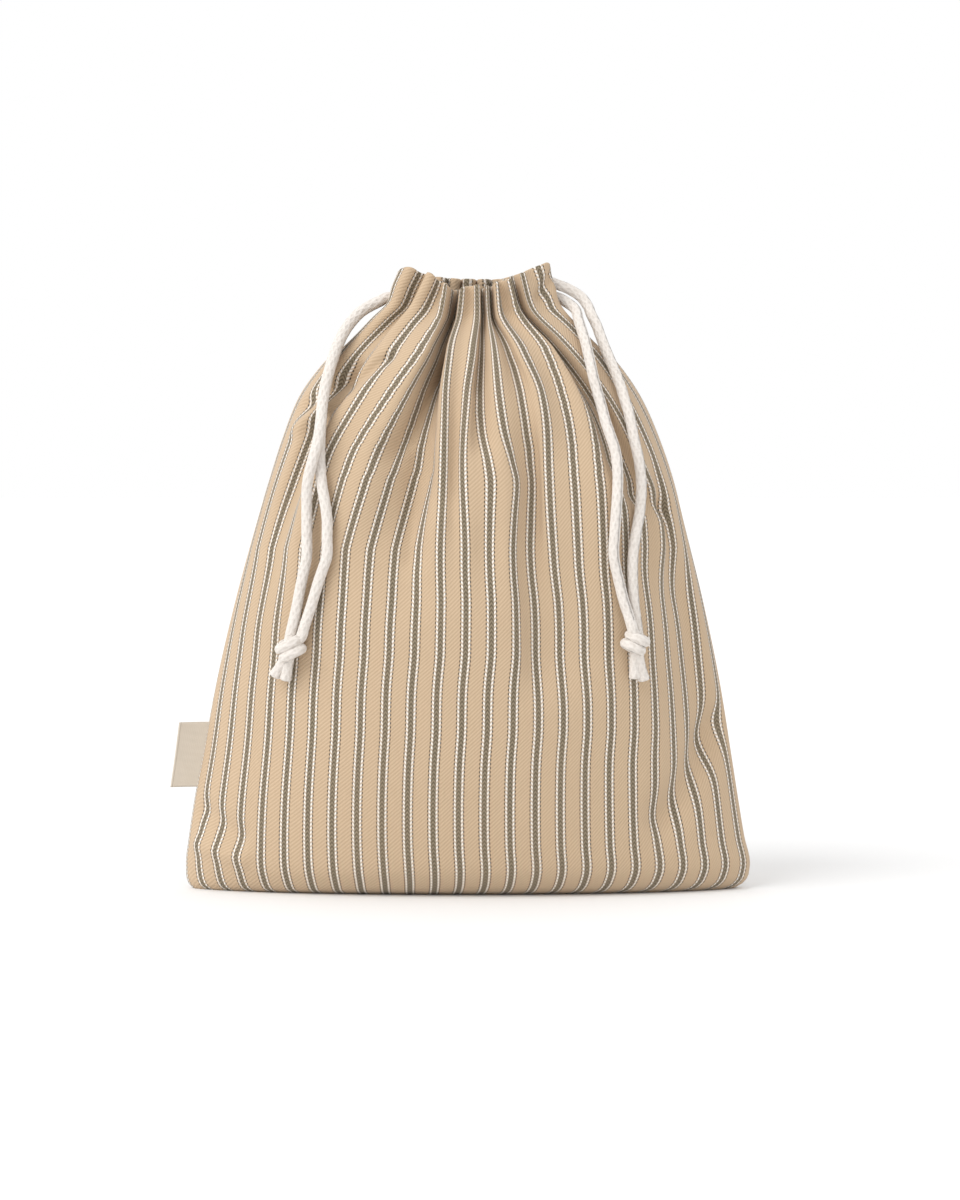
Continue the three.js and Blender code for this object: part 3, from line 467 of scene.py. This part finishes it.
def flank_slopes(share, bottom):
    """Steepness of a trough's two flanks that draws its cloth in to a share, by where its bottom lies."""
    narrow, wide = min(bottom, 1 - bottom), max(bottom, 1 - bottom)
    gentle = np.interp(narrow / wide * SUNK, SUNK, STEEP)
    covers = narrow * DRAWN + wide * np.interp(gentle, STEEP, DRAWN)
    spare = 1 - share
    spare = (spare + math.hypot(spare, EASE_IN)) / 2
    steep = float(np.interp(1 - spare, covers[::-1], STEEP[::-1]))
    slopes = (steep, float(np.interp(steep, STEEP, gentle)))
    return slopes if bottom < 0.5 else slopes[::-1]


def soft_slope(softs, u, z):
    """Slope from the soft folds, steep on a narrow flank and gentle on a wide one."""
    slope = np.zeros_like(u)
    for fold in softs:
        up = np.clip((z - fold.low) / (fold.high - fold.low), 0, 1)
        from_trough = u - PITCH * (fold.foot + (fold.top - fold.foot) * up)
        fade = eased(fold.low, fold.low + SOFT_EASE, z) * (1 - eased(fold.high - SOFT_EASE, fold.high, z))
        before = 1 + from_trough / fold.left
        after = from_trough / fold.right
        on_left = (before > 0) & (before < 1)
        on_right = (after > 0) & (after < 1)
        slope -= np.where(on_left, fold.slope * fade * np.sin(np.pi * before), 0)
        slope += np.where(on_right, fold.slope * fade * fold.left / fold.right * np.sin(np.pi * after), 0)
    return slope


def seam_slope(u, z):
    """Slope of the grooves at the two side seams, the same on both panels so that their edges meet."""
    from_edge = np.minimum(u, PANEL_WIDTH - u)
    wave = np.where(from_edge < SEAM_GROOVE / 2, np.sin(2 * np.pi * from_edge / SEAM_GROOVE), 0)
    return np.sign(PANEL_WIDTH / 2 - u) * SEAM_SLOPE * eased(GROOVE_START, GROOVE_FULL, z) * wave


def crease_depth(creases, u, z):
    """Depth that the creases press into the cloth, none at the seams; a ridge counts below zero."""
    depth = np.zeros_like(u)
    for c in creases:
        start_u, start_z = c.start * PITCH, c.high
        run_u, run_z = c.end * PITCH - start_u, c.low - start_z
        t = np.clip(((u - start_u) * run_u + (z - start_z) * run_z) / (run_u**2 + run_z**2), 0, 1)
        away = np.hypot(u - start_u - t * run_u, z - start_z - t * run_z) / c.width
        depth += c.depth * np.exp(-2 * away**2)
    return depth * eased(0, SEAM_EASE, np.minimum(u, PANEL_WIDTH - u))


def folds_across(panel, z, outline, runs):
    """Places across the cloth at a height, how far along the outline each one lies, and how far out of it.

    The crests stand where they are placed, and the troughs between them take the spare cloth.
    """
    du = PANEL_WIDTH / FINE
    places = np.arange(FINE + 1) * du
    middles = places[:-1] + du / 2
    seams = seam_slope(middles, z)
    slope = seams + soft_slope(panel.softs, middles, z)
    natural = np.concatenate([[0], np.cumsum(np.cos(slope))])
    natural *= runs[-1] / natural[-1]
    gathered = eased(GATHER_START, GATHER_FULL, z)
    up = eased(GATHER_FULL, RIM, z)
    crests = [0] + [PITCH * (c.foot + (c.neck - c.foot) * up) for c in panel.crests] + [PANEL_WIDTH]
    bottoms = [0.5] + [c.bottom + (0.5 - c.bottom) * up for c in panel.crests]
    across = [float(value_at(c.path, "z", "x", z)) for c in panel.crests]
    stands = np.interp(across, outline[:, 0], runs)
    loose = np.interp(crests, places, natural)
    stands = np.concatenate([[0], loose[1:-1] + (stands - loose[1:-1]) * gathered, runs[-1:]])
    run = np.zeros(FINE + 1)
    for start, end, low, high, bottom in zip(crests, crests[1:], stands, stands[1:], bottoms):
        inside = (middles >= start) & (middles < end)
        width = np.cos(slope[inside]).sum() * du
        beside_seam = start == 0 or end == PANEL_WIDTH
        fall, rise = (0, 0) if beside_seam else flank_slopes((high - low) / width, bottom)
        t = (middles[inside] - start) / (end - start)
        falling = -fall * np.sin(np.pi * np.minimum(t / bottom, 1))
        rising = rise * np.sin(np.pi * np.maximum((t - bottom) / (1 - bottom), 0))
        slope[inside] += gathered * (falling + rising)
        steps = np.cos(slope[inside])
        run[1:][inside] = low + np.cumsum(steps) * (high - low) / steps.sum()
    out = np.concatenate([[0], np.cumsum(np.sin(slope)) * du])
    out -= out[-1] * places / PANEL_WIDTH + np.sin(seams[: FINE // 2]).sum() * du
    return places, run, out


def row_at(panel, z, us):
    """One row of a panel's outer face, at places across its cloth."""
    outline, runs = outline_at(panel.side, z)
    places, run, out = folds_across(panel, z, outline, runs)
    run_u = np.interp(us, places, run)
    out_u = np.interp(us, places, out) - crease_depth(panel.creases, us, z)
    along = np.gradient(outline, runs, axis=0)
    along = np.stack([np.interp(run_u, runs, along[:, k]) for k in (0, 1)], 1)
    along /= np.linalg.norm(along, axis=1)[:, None]
    x = np.interp(run_u, runs, outline[:, 0]) - panel.side * along[:, 1] * out_u
    y = np.interp(run_u, runs, outline[:, 1]) + panel.side * along[:, 0] * out_u
    y[[0, -1]] = 0
    lift = value_at(panel.rim, "at", "lift", us / PITCH) * eased(RIM_LIFT_START, RIM, z)
    return np.stack([x, panel.side * np.maximum(0, panel.side * y), z + lift], 1)


def outer_rows(panel, us):
    """Outer face of a panel, row by row: under the base from its seam, then up the wall to the rim."""
    foot = row_at(panel, 0.0, us)
    middle = (LEVELS[0].left + LEVELS[0].right) / 2
    rows = []
    for share in FLAT_SHARES:
        row = foot * (1, share, 0)
        row[:, 0] = middle + (foot[:, 0] - middle) * (SEAM_SHORT + (1 - SEAM_SHORT) * share)
        rows.append(row)
    return np.array(rows + [foot] + [row_at(panel, z, us) for z in HEIGHTS])


def unit(vectors):
    """The same directions at length one."""
    return vectors / np.maximum(np.linalg.norm(vectors, axis=-1, keepdims=True), SHORTEST)


def add_piece(name, points, faces, values, material, slot, *nodes):
    """A smooth mesh piece that carries named values at its points and stands for the nodes of the solids."""
    mesh = bpy.data.meshes.new(name)
    mesh.from_pydata(points.tolist(), [], faces)
    mesh.polygons.foreach_set("use_smooth", np.ones(len(mesh.polygons), bool))
    for key, numbers in values.items():
        layer = mesh.attributes.new(key, "FLOAT", "POINT")
        layer.data.foreach_set("value", np.ravel(numbers).astype(np.float32))
    mesh.materials.append(material)
    mesh.update()
    piece = bpy.data.objects.new(name, mesh)
    bpy.context.collection.objects.link(piece)
    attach(piece, "root")
    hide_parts(*nodes)
    return piece


def grid_faces(index):
    """Four-sided faces over a grid of point numbers."""
    corners = [index[:-1, :-1], index[:-1, 1:], index[1:, 1:], index[1:, :-1]]
    return np.stack(corners, -1).reshape(-1, 4).tolist()


def add_panel(panel, material):
    """A cloth panel as a closed sheet: outer face, rolled rim, inner face, and its seam edges."""
    us = np.linspace(0, PANEL_WIDTH, COLUMNS + 1)
    outer = outer_rows(panel, us)
    rows = len(outer)
    up = np.gradient(outer, axis=0)
    normals = unit(np.cross(np.gradient(outer, axis=1), up) * -panel.side)
    normals[: len(FLAT_SHARES)] = (0, 0, -1)
    normals[:, [0, -1], 1] = 0
    thick = CLOTH + (HEM - CLOTH) * eased(HEM_START, HEM_START + HEM_EASE, outer[..., 2:])
    inner = outer - unit(normals) * thick
    middle = (outer[-1] + inner[-1]) / 2
    turns = np.pi * np.arange(1, ROLL_STEPS + 1) / (ROLL_STEPS + 1)
    lift = unit(up[-1]) * thick[-1] / 2
    roll = [middle + (outer[-1] - middle) * np.cos(a) + lift * np.sin(a) for a in turns]
    strip = np.concatenate([outer, roll, inner[::-1]])
    index = np.arange(strip[..., 0].size).reshape(strip.shape[:2])
    loop = np.concatenate([index, index[:1]])
    faces = grid_faces(loop if panel.side < 0 else loop[:, ::-1])
    for column in (0, COLUMNS):
        edge = index[:, column]
        facing = (column == 0) == (panel.side < 0)
        caps = [[edge[j], edge[j + 1], edge[-2 - j], edge[-1 - j]] for j in range(rows - 1)]
        caps.append(list(edge[rows - 1 : rows + ROLL_STEPS + 1]))
        faces += [[int(i) for i in (cap if facing else cap[::-1])] for cap in caps]
    steps = np.linalg.norm(np.diff(outer, axis=0), axis=2)
    v = np.concatenate([np.zeros((1, COLUMNS + 1)), np.cumsum(steps, axis=0)])
    roll_v = [v[-1] + HEM * a / 2 for a in turns]
    values = {
        "cloth_u": np.tile(us, len(strip)),
        "cloth_v": np.concatenate([v, roll_v, v[::-1]]),
    }
    points = strip.reshape(-1, 3)
    piece = add_piece(panel.name + "_cloth", points, faces, values, material, "ticking_cloth", panel.name)
    return piece


def smooth_path(points, step):
    """Evenly spaced points along a smooth curve through given ones."""
    points = np.array(points, float)
    times = np.concatenate([[0], np.cumsum(np.linalg.norm(np.diff(points, axis=0), axis=1) ** 0.5)])
    tangents = np.gradient(points, times, axis=0)
    fine = np.linspace(0, times[-1], PATH_STEPS * len(points))
    i = np.clip(np.searchsorted(times, fine, side="right") - 1, 0, len(times) - 2)
    span = (times[i + 1] - times[i])[:, None]
    t = (fine - times[i])[:, None] / span
    rise = t * t * (3 - 2 * t)
    bend = span * t * (1 - t) * (tangents[i] * (1 - t) - tangents[i + 1] * t)
    curve = points[i] * (1 - rise) + points[i + 1] * rise + bend
    runs = np.concatenate([[0], np.cumsum(np.linalg.norm(np.diff(curve, axis=0), axis=1))])
    even = np.linspace(0, runs[-1], max(2, round(runs[-1] / step)) + 1)
    return np.stack([np.interp(even, runs, curve[:, k]) for k in range(3)], 1)


def braided_tube(path, end_size=1.0):
    """Points, faces and named values of a braided cord along a path, whose far end may be wider."""
    along = unit(np.gradient(path, axis=0))
    side = unit(np.cross(along[0], ASIDE))
    sides = []
    for direction in along:
        side = unit(side - direction * side.dot(direction))
        sides.append(side)
    sides = np.array(sides)
    ups = np.cross(along, sides)
    runs = np.concatenate([[0], np.cumsum(np.linalg.norm(np.diff(path, axis=0), axis=1))])
    angles = 2 * np.pi * np.arange(CORD_SIDES) / CORD_SIDES
    turn = BRAID_CARRIERS / 2 * angles[None, :]
    climb = np.pi * runs[:, None] / BRAID_STITCH
    ridges = np.maximum(np.abs(np.cos(turn + climb)), np.abs(np.cos(turn - climb)))
    sizes = 1 + (end_size - 1) * eased(runs[-1] - CORD, runs[-1], runs)
    radius = (CORD / 2 * (1 - BRAID_DEPTH * (1 - ridges)) * sizes[:, None])[..., None]
    ring = sides[:, None] * np.cos(angles)[None, :, None] + ups[:, None] * np.sin(angles)[None, :, None]
    points = (path[:, None] + ring * radius).reshape(-1, 3)
    index = np.arange(len(points)).reshape(len(path), CORD_SIDES)
    faces = grid_faces(np.concatenate([index, index[:, :1]], axis=1))
    faces += [index[0][::-1].tolist(), index[-1].tolist()]
    values = {
        "cord_along": np.repeat(runs, CORD_SIDES),
        "cord_round": np.tile(angles, len(path)),
    }
    return points, faces, values


def joined(tubes):
    """Several tubes as one set of points, faces and values."""
    points, faces, values = [], [], {}
    for tube_points, tube_faces, tube_values in tubes:
        first = sum(len(p) for p in points)
        points.append(tube_points)
        faces += [[i + first for i in face] for face in tube_faces]
        for key, numbers in tube_values.items():
            values.setdefault(key, []).append(numbers)
    return np.concatenate(points), faces, {key: np.concatenate(parts) for key, parts in values.items()}


def knot_tubes(knot, ends):
    """A knot of two strands: each runs through the middle to its tail, and two wraps go round them."""
    middle = np.array(knot.at)
    tilt = math.radians(knot.tilt)
    across = np.array((math.cos(tilt), 0, -math.sin(tilt)))
    axis = np.array((math.sin(tilt), 0, math.cos(tilt)))
    back = np.array((0, WRAP_FLAT, 0))
    tubes = []
    for end, tail in zip(ends, knot.tails):
        tail = np.array(tail)
        shift = np.array(((end[1] - middle)[0] * PASS_ASIDE, 0, 0))
        inside = middle + shift + axis * PASS_ABOVE
        route = [end[0], end[1], inside, middle + (tail - middle) * TAIL_BEND, tail]
        tubes.append(braided_tube(smooth_path(route, RING_STEP), end_size=FRAY))
    for place in (-0.5, 0.5):
        turns = np.linspace(knot.start, knot.start + 2 * np.pi * WRAP_TURNS, WRAP_STEPS)
        share = np.linspace(0, 1, WRAP_STEPS)
        tuck = 1 - TUCK * (1 - eased(0, TUCK_SHARE, share)) - TUCK * eased(1 - TUCK_SHARE, 1, share)
        ring = across * np.cos(turns)[:, None] + back * np.sin(turns)[:, None]
        height = place * CORD * WRAP_SPACING + (share - 0.5) * WRAP_CLIMB
        path = middle + ring * (knot.ring * tuck)[:, None] + axis * height[:, None]
        tubes.append(braided_tube(smooth_path(path, RING_STEP)))
    return joined(tubes)


def label_mesh():
    """A tape folded double: its outer skin out to the fold and back, its inner skin, and its edges."""
    half = LABEL_SLIT / 2 + LABEL_LAYER
    turn = np.linspace(-np.pi / 2, np.pi / 2, FOLD_STEPS)
    shares = np.linspace(0, 1, LABEL_COLUMNS)
    rows = np.linspace(0, 1, LABEL_ROWS)
    z = LABEL_FOOT + (LABEL_TOP - LABEL_FOOT) * rows
    root = value_at(LEVELS, "z", "left", z) + LABEL_SEWN_IN
    reach = LABEL_OUT_FOOT + (LABEL_OUT_TOP - LABEL_OUT_FOOT) * rows + LABEL_SEWN_IN

    def skin(thick):
        """Out along the front, round the fold and back along the rear, as shares of the reach and depths."""
        out = np.concatenate([shares, 1 + np.cos(turn) * thick / reach.mean(), shares[::-1]])
        depth = np.concatenate([-thick + 0 * shares, np.sin(turn) * thick, thick + 0 * shares])
        return out, depth

    points, along = [], []
    for thick in (half, LABEL_SLIT / 2):
        out, depth = skin(thick)
        x = root[:, None] - reach[:, None] * out * (1 - half / reach.mean())
        bow = -LABEL_BOW * out**2 * (LABEL_BOW_FOOT + (1 - LABEL_BOW_FOOT) * rows[:, None])
        points.append(np.stack([x, depth + bow, z[:, None] + LABEL_SAG * out**2 + 0 * x], -1))
        along.append(np.tile(np.abs(out) * reach.mean(), (len(z), 1)))
    count = points[0][..., 0].size
    outer = np.arange(count).reshape(points[0].shape[:2])
    inner = outer + count
    faces = grid_faces(outer) + grid_faces(inner[:, ::-1])
    faces += grid_faces(np.stack([inner[0], outer[0]])) + grid_faces(np.stack([outer[-1], inner[-1]]))
    faces += grid_faces(np.stack([outer[:, 0], inner[:, 0]], 1)[::-1])
    faces += grid_faces(np.stack([inner[:, -1], outer[:, -1]], 1)[::-1])
    values = {
        "tape_along": np.concatenate([a.ravel() for a in along]),
        "tape_up": np.tile(np.repeat(z, points[0].shape[1]), 2),
    }
    return np.concatenate([p.reshape(-1, 3) for p in points]), faces, values


class Shading:
    """A material's nodes: sums, masks and mixes of values that the mesh carries."""

    def __init__(self, name, roughness, sheen):
        self.material = bpy.data.materials.new(name)
        self.material.use_nodes = True
        self.nodes = self.material.node_tree.nodes
        self.links = self.material.node_tree.links
        self.surface = self.nodes["Principled BSDF"]
        self.surface.inputs["Roughness"].default_value = roughness
        self.surface.inputs["Sheen Weight"].default_value = sheen
        self.surface.inputs["Sheen Roughness"].default_value = SHEEN_ROUGHNESS
        self.surface.inputs["Specular IOR Level"].default_value = SPECULAR

    def put(self, socket, value):
        """Links a node's result to a socket, or sets the socket to a plain value."""
        if isinstance(value, bpy.types.NodeSocket):
            self.links.new(value, socket)
        else:
            socket.default_value = value

    def carried(self, name):
        """A named value that the mesh carries at its points."""
        node = self.nodes.new("ShaderNodeAttribute")
        node.attribute_name = name
        return node.outputs["Fac"]

    def calc(self, operation, *values):
        """The result of one sum."""
        node = self.nodes.new("ShaderNodeMath")
        node.operation = operation
        for socket, value in zip(node.inputs, values):
            self.put(socket, value)
        return node.outputs[0]

    def below(self, value, edge, soft):
        """1 where the value is below the edge, 0 above it."""
        node = self.nodes.new("ShaderNodeMapRange")
        node.interpolation_type = "SMOOTHSTEP"
        for name, number in (("Value", value), ("From Min", edge - soft), ("From Max", edge + soft),
                             ("To Min", 1.0), ("To Max", 0.0)):
            self.put(node.inputs[name], number)
        return node.outputs[0]

    def wave(self, value, length):
        """A wave between 0 and 1 along a value."""
        turned = self.calc("SINE", self.calc("MULTIPLY", value, 2 * math.pi / length))
        return self.calc("MULTIPLY_ADD", turned, 0.5, 0.5)

    def mix(self, share, first, second):
        """The first colour, with a share of the second in its place."""
        node = self.nodes.new("ShaderNodeMix")
        node.data_type = "RGBA"
        self.put(node.inputs["Factor"], share)
        self.put(node.inputs["A"], first)
        self.put(node.inputs["B"], second)
        return node.outputs["Result"]

    def noise(self, coordinates, scale, detail=2.0):
        """Uneven values between 0 and 1 over the coordinates."""
        node = self.nodes.new("ShaderNodeTexNoise")
        node.inputs["Scale"].default_value = scale
        node.inputs["Detail"].default_value = detail
        self.put(node.inputs["Vector"], coordinates)
        return node.outputs["Fac"]

    def place(self, x, y):
        """Coordinates made of two values."""
        node = self.nodes.new("ShaderNodeCombineXYZ")
        for socket, value in zip(node.inputs, (x, y)):
            self.put(socket, value)
        return node.outputs[0]

    def object_place(self):
        """Coordinates in the piece's own frame."""
        return self.nodes.new("ShaderNodeTexCoord").outputs["Object"]

    def bump(self, height, distance):
        """Relief of the surface: a height, and the distance that a height of one stands for."""
        node = self.nodes.new("ShaderNodeBump")
        node.inputs["Distance"].default_value = distance
        self.put(node.inputs["Height"], height)
        self.links.new(node.outputs[0], self.surface.inputs["Normal"])

    def colour(self, value):
        """Colour of the surface."""
        self.links.new(value, self.surface.inputs["Base Color"])


def ticking_material():
    """Sand twill with stripes: an olive herringbone band between white corded lines and dark edges."""
    s = Shading("ticking", roughness=0.88, sheen=0.12)
    u, v = s.carried("cloth_u"), s.carried("cloth_v")
    phase = s.calc("SUBTRACT", s.calc("FRACT", s.calc("MULTIPLY_ADD", u, 1 / PITCH, 0.5)), 0.5)
    off = s.calc("MULTIPLY", s.calc("ABSOLUTE", phase), PITCH)
    in_olive = s.below(off, OLIVE_HALF, EDGE_SOFT)
    in_white = s.below(off, WHITE_HALF, EDGE_SOFT)
    in_dark = s.below(off, DARK_HALF, EDGE_SOFT)

    twill = s.wave(s.calc("SUBTRACT", v, u), TWILL)
    herringbone = s.wave(s.calc("MULTIPLY_ADD", off, HERRINGBONE_SLANT, v), HERRINGBONE)
    rope = s.wave(s.calc("MULTIPLY_ADD", off, ROPE_SLANT, v), ROPE)
    dashes = s.below(s.wave(v, ROPE), DASH_EDGE, DASH_SOFT)
    slub = s.noise(s.place(s.calc("MULTIPLY", u, SLUB_ACROSS), s.calc("MULTIPLY", v, SLUB_ALONG)), 1.0)
    worn = s.noise(s.object_place(), WORN_SCALE, WORN_DETAIL)

    ground = s.mix(s.calc("MULTIPLY", twill, TWILL_SHADE), SAND_LIGHT, SAND_DARK)
    ground = s.mix(s.calc("MULTIPLY_ADD", slub, *SLUB_SHADE), ground, SAND_DARK)
    olive = s.mix(s.calc("MULTIPLY_ADD", herringbone, *HERRINGBONE_SHADE), OLIVE_DARK, OLIVE_LIGHT)
    white = s.mix(s.calc("MULTIPLY", s.calc("POWER", rope, ROPE_POWER), ROPE_SHADE), WHITE, SAND_DARK)
    dark = s.mix(dashes, SAND_DARK, OLIVE_DARK)
    cloth = s.mix(in_dark, ground, dark)
    cloth = s.mix(in_white, cloth, white)
    cloth = s.mix(in_olive, cloth, olive)
    s.colour(s.mix(s.calc("MULTIPLY_ADD", worn, *WORN_SHADE), cloth, SAND_DARK))

    white_line = s.calc("SUBTRACT", in_white, in_olive)
    corded = s.calc("MULTIPLY", white_line, s.calc("MULTIPLY_ADD", rope, *ROPE_RELIEF))
    threads = s.calc("MULTIPLY_ADD", slub, SLUB_RELIEF, s.calc("MULTIPLY", twill, TWILL_RELIEF))
    s.bump(s.calc("MULTIPLY_ADD", corded, CORDED_RELIEF, threads), THREAD)
    return s.material


def cord_material():
    """Off-white braided cotton with fuzzy yarns that slant both ways round the cord, random darker flecks,
    and painted shade in the hollows between the yarns.
    """
    s = Shading("cotton_braid", roughness=0.92, sheen=0.25)
    along, round_ = s.carried("cord_along"), s.carried("cord_round")
    climb = s.calc("MULTIPLY", along, 2 * math.pi / BRAID_STITCH)
    turn = s.calc("MULTIPLY", round_, float(BRAID_CARRIERS))
    first = s.calc("COSINE", s.calc("ADD", turn, climb))
    second = s.calc("COSINE", s.calc("SUBTRACT", turn, climb))
    ridge = s.calc("MULTIPLY_ADD", s.calc("MAXIMUM", first, second), 0.5, 0.5)
    fuzz = s.noise(s.object_place(), FUZZ_SCALE, FUZZ_DETAIL)
    # painted shade: the braid's hollows darker and its crests lighter, plus random flecks
    shade = s.calc("MULTIPLY_ADD", ridge, HOLLOW_PAINTED_SHADE, s.calc("MULTIPLY_ADD", fuzz, *FUZZ_SHADE))
    s.colour(s.mix(shade, COTTON, COTTON_FLECK_AND_SHADE))
    s.bump(s.calc("MULTIPLY_ADD", fuzz, FUZZ_RELIEF, ridge), YARN)
    return s.material


def label_material():
    """Plain taupe woven tape: fine ribs across it and a little unevenness."""
    s = Shading("label_tape", roughness=0.8, sheen=0.1)
    ribs = s.wave(s.carried("tape_up"), TAPE_RIB)
    warp = s.wave(s.carried("tape_along"), TAPE_WARP)
    worn = s.noise(s.object_place(), TAPE_WORN_SCALE, TAPE_WORN_DETAIL)
    weave = s.calc("MULTIPLY", ribs, s.calc("MULTIPLY_ADD", warp, *WARP_SHADE))
    shade = s.calc("MULTIPLY_ADD", worn, TAPE_WORN_SHADE, s.calc("MULTIPLY", weave, WEAVE_SHADE))
    s.colour(s.mix(shade, TAPE_DEEP, TAPE))
    s.bump(weave, TAPE_THREAD)
    return s.material


def floor_material():
    """Matt white studio floor with the faintest mottle."""
    s = Shading("studio_floor", roughness=0.9, sheen=0.0)
    s.colour(s.mix(s.noise(s.object_place(), MOTTLE_SCALE), FLOOR, FLOOR_SHADE))
    return s.material


def add_camera():
    """Camera at the photo's height and angle, with the bag framed as it is there."""
    camera = bpy.data.objects.new("camera", bpy.data.cameras.new("camera"))
    camera.data.lens = LENS
    camera.data.sensor_width = SENSOR
    up = math.radians(ELEVATION)
    aim_x, aim_z = AIM
    camera.location = (aim_x, -DISTANCE * math.cos(up), aim_z + DISTANCE * math.sin(up))
    camera.rotation_euler = (math.pi / 2 - up, 0, 0)
    bpy.context.collection.objects.link(camera)
    bpy.context.scene.camera = camera


def add_sun():
    """Soft light from the upper left, the same over the whole floor."""
    light = bpy.data.objects.new("sun", bpy.data.lights.new("sun", "SUN"))
    light.data.angle = math.radians(SUN_SPREAD)
    light.data.energy = SUN_POWER
    direction = unit(np.array(SUN_FROM))
    light.rotation_euler = (math.acos(direction[2]), 0, math.atan2(direction[0], -direction[1]))
    bpy.context.collection.objects.link(light)


def add_stage():
    """A pale floor, an even white surround and a soft light from the upper left."""
    mesh = bpy.data.meshes.new("floor")
    corners = [(-FLOOR_HALF, -FLOOR_HALF, 0), (FLOOR_HALF, -FLOOR_HALF, 0), (FLOOR_HALF, FLOOR_HALF, 0)]
    mesh.from_pydata(corners + [(-FLOOR_HALF, FLOOR_HALF, 0)], [], [(0, 1, 2, 3)])
    mesh.materials.append(floor_material())
    floor = bpy.data.objects.new("floor", mesh)
    bpy.context.collection.objects.link(floor)
    world = bpy.data.worlds.new("studio")
    world.use_nodes = True
    world.node_tree.nodes["Background"].inputs["Color"].default_value = (1, 1, 1, 1)
    world.node_tree.nodes["Background"].inputs["Strength"].default_value = SURROUND
    bpy.context.scene.world = world
    bpy.context.scene.view_settings.view_transform = "Standard"
    add_sun()


def add_cords(material):
    """The drawcord strands and the knots that tie them."""
    routes = {name: smooth_path(INSIDE[name] + points, RING_STEP) for name, points in STRANDS.items()}
    for knot in KNOTS:
        ends = [(STRANDS[name][-2], STRANDS[name][-1]) for name in knot.strands]
        tied = add_piece(knot.name + "_tied", *knot_tubes(knot, ends), material, "cotton_cord", knot.name)
        for name in knot.strands:
            path = routes[name]
            strand = add_piece(name + "_braid", *braided_tube(path), material, "cotton_cord", name)


add_camera()
add_stage()
add_cords(cord_material())
ticking = ticking_material()
cloths = [add_panel(panel, ticking) for panel in PANELS]
label = add_piece("label_tape", *label_mesh(), label_material(), "label_tape", "label")
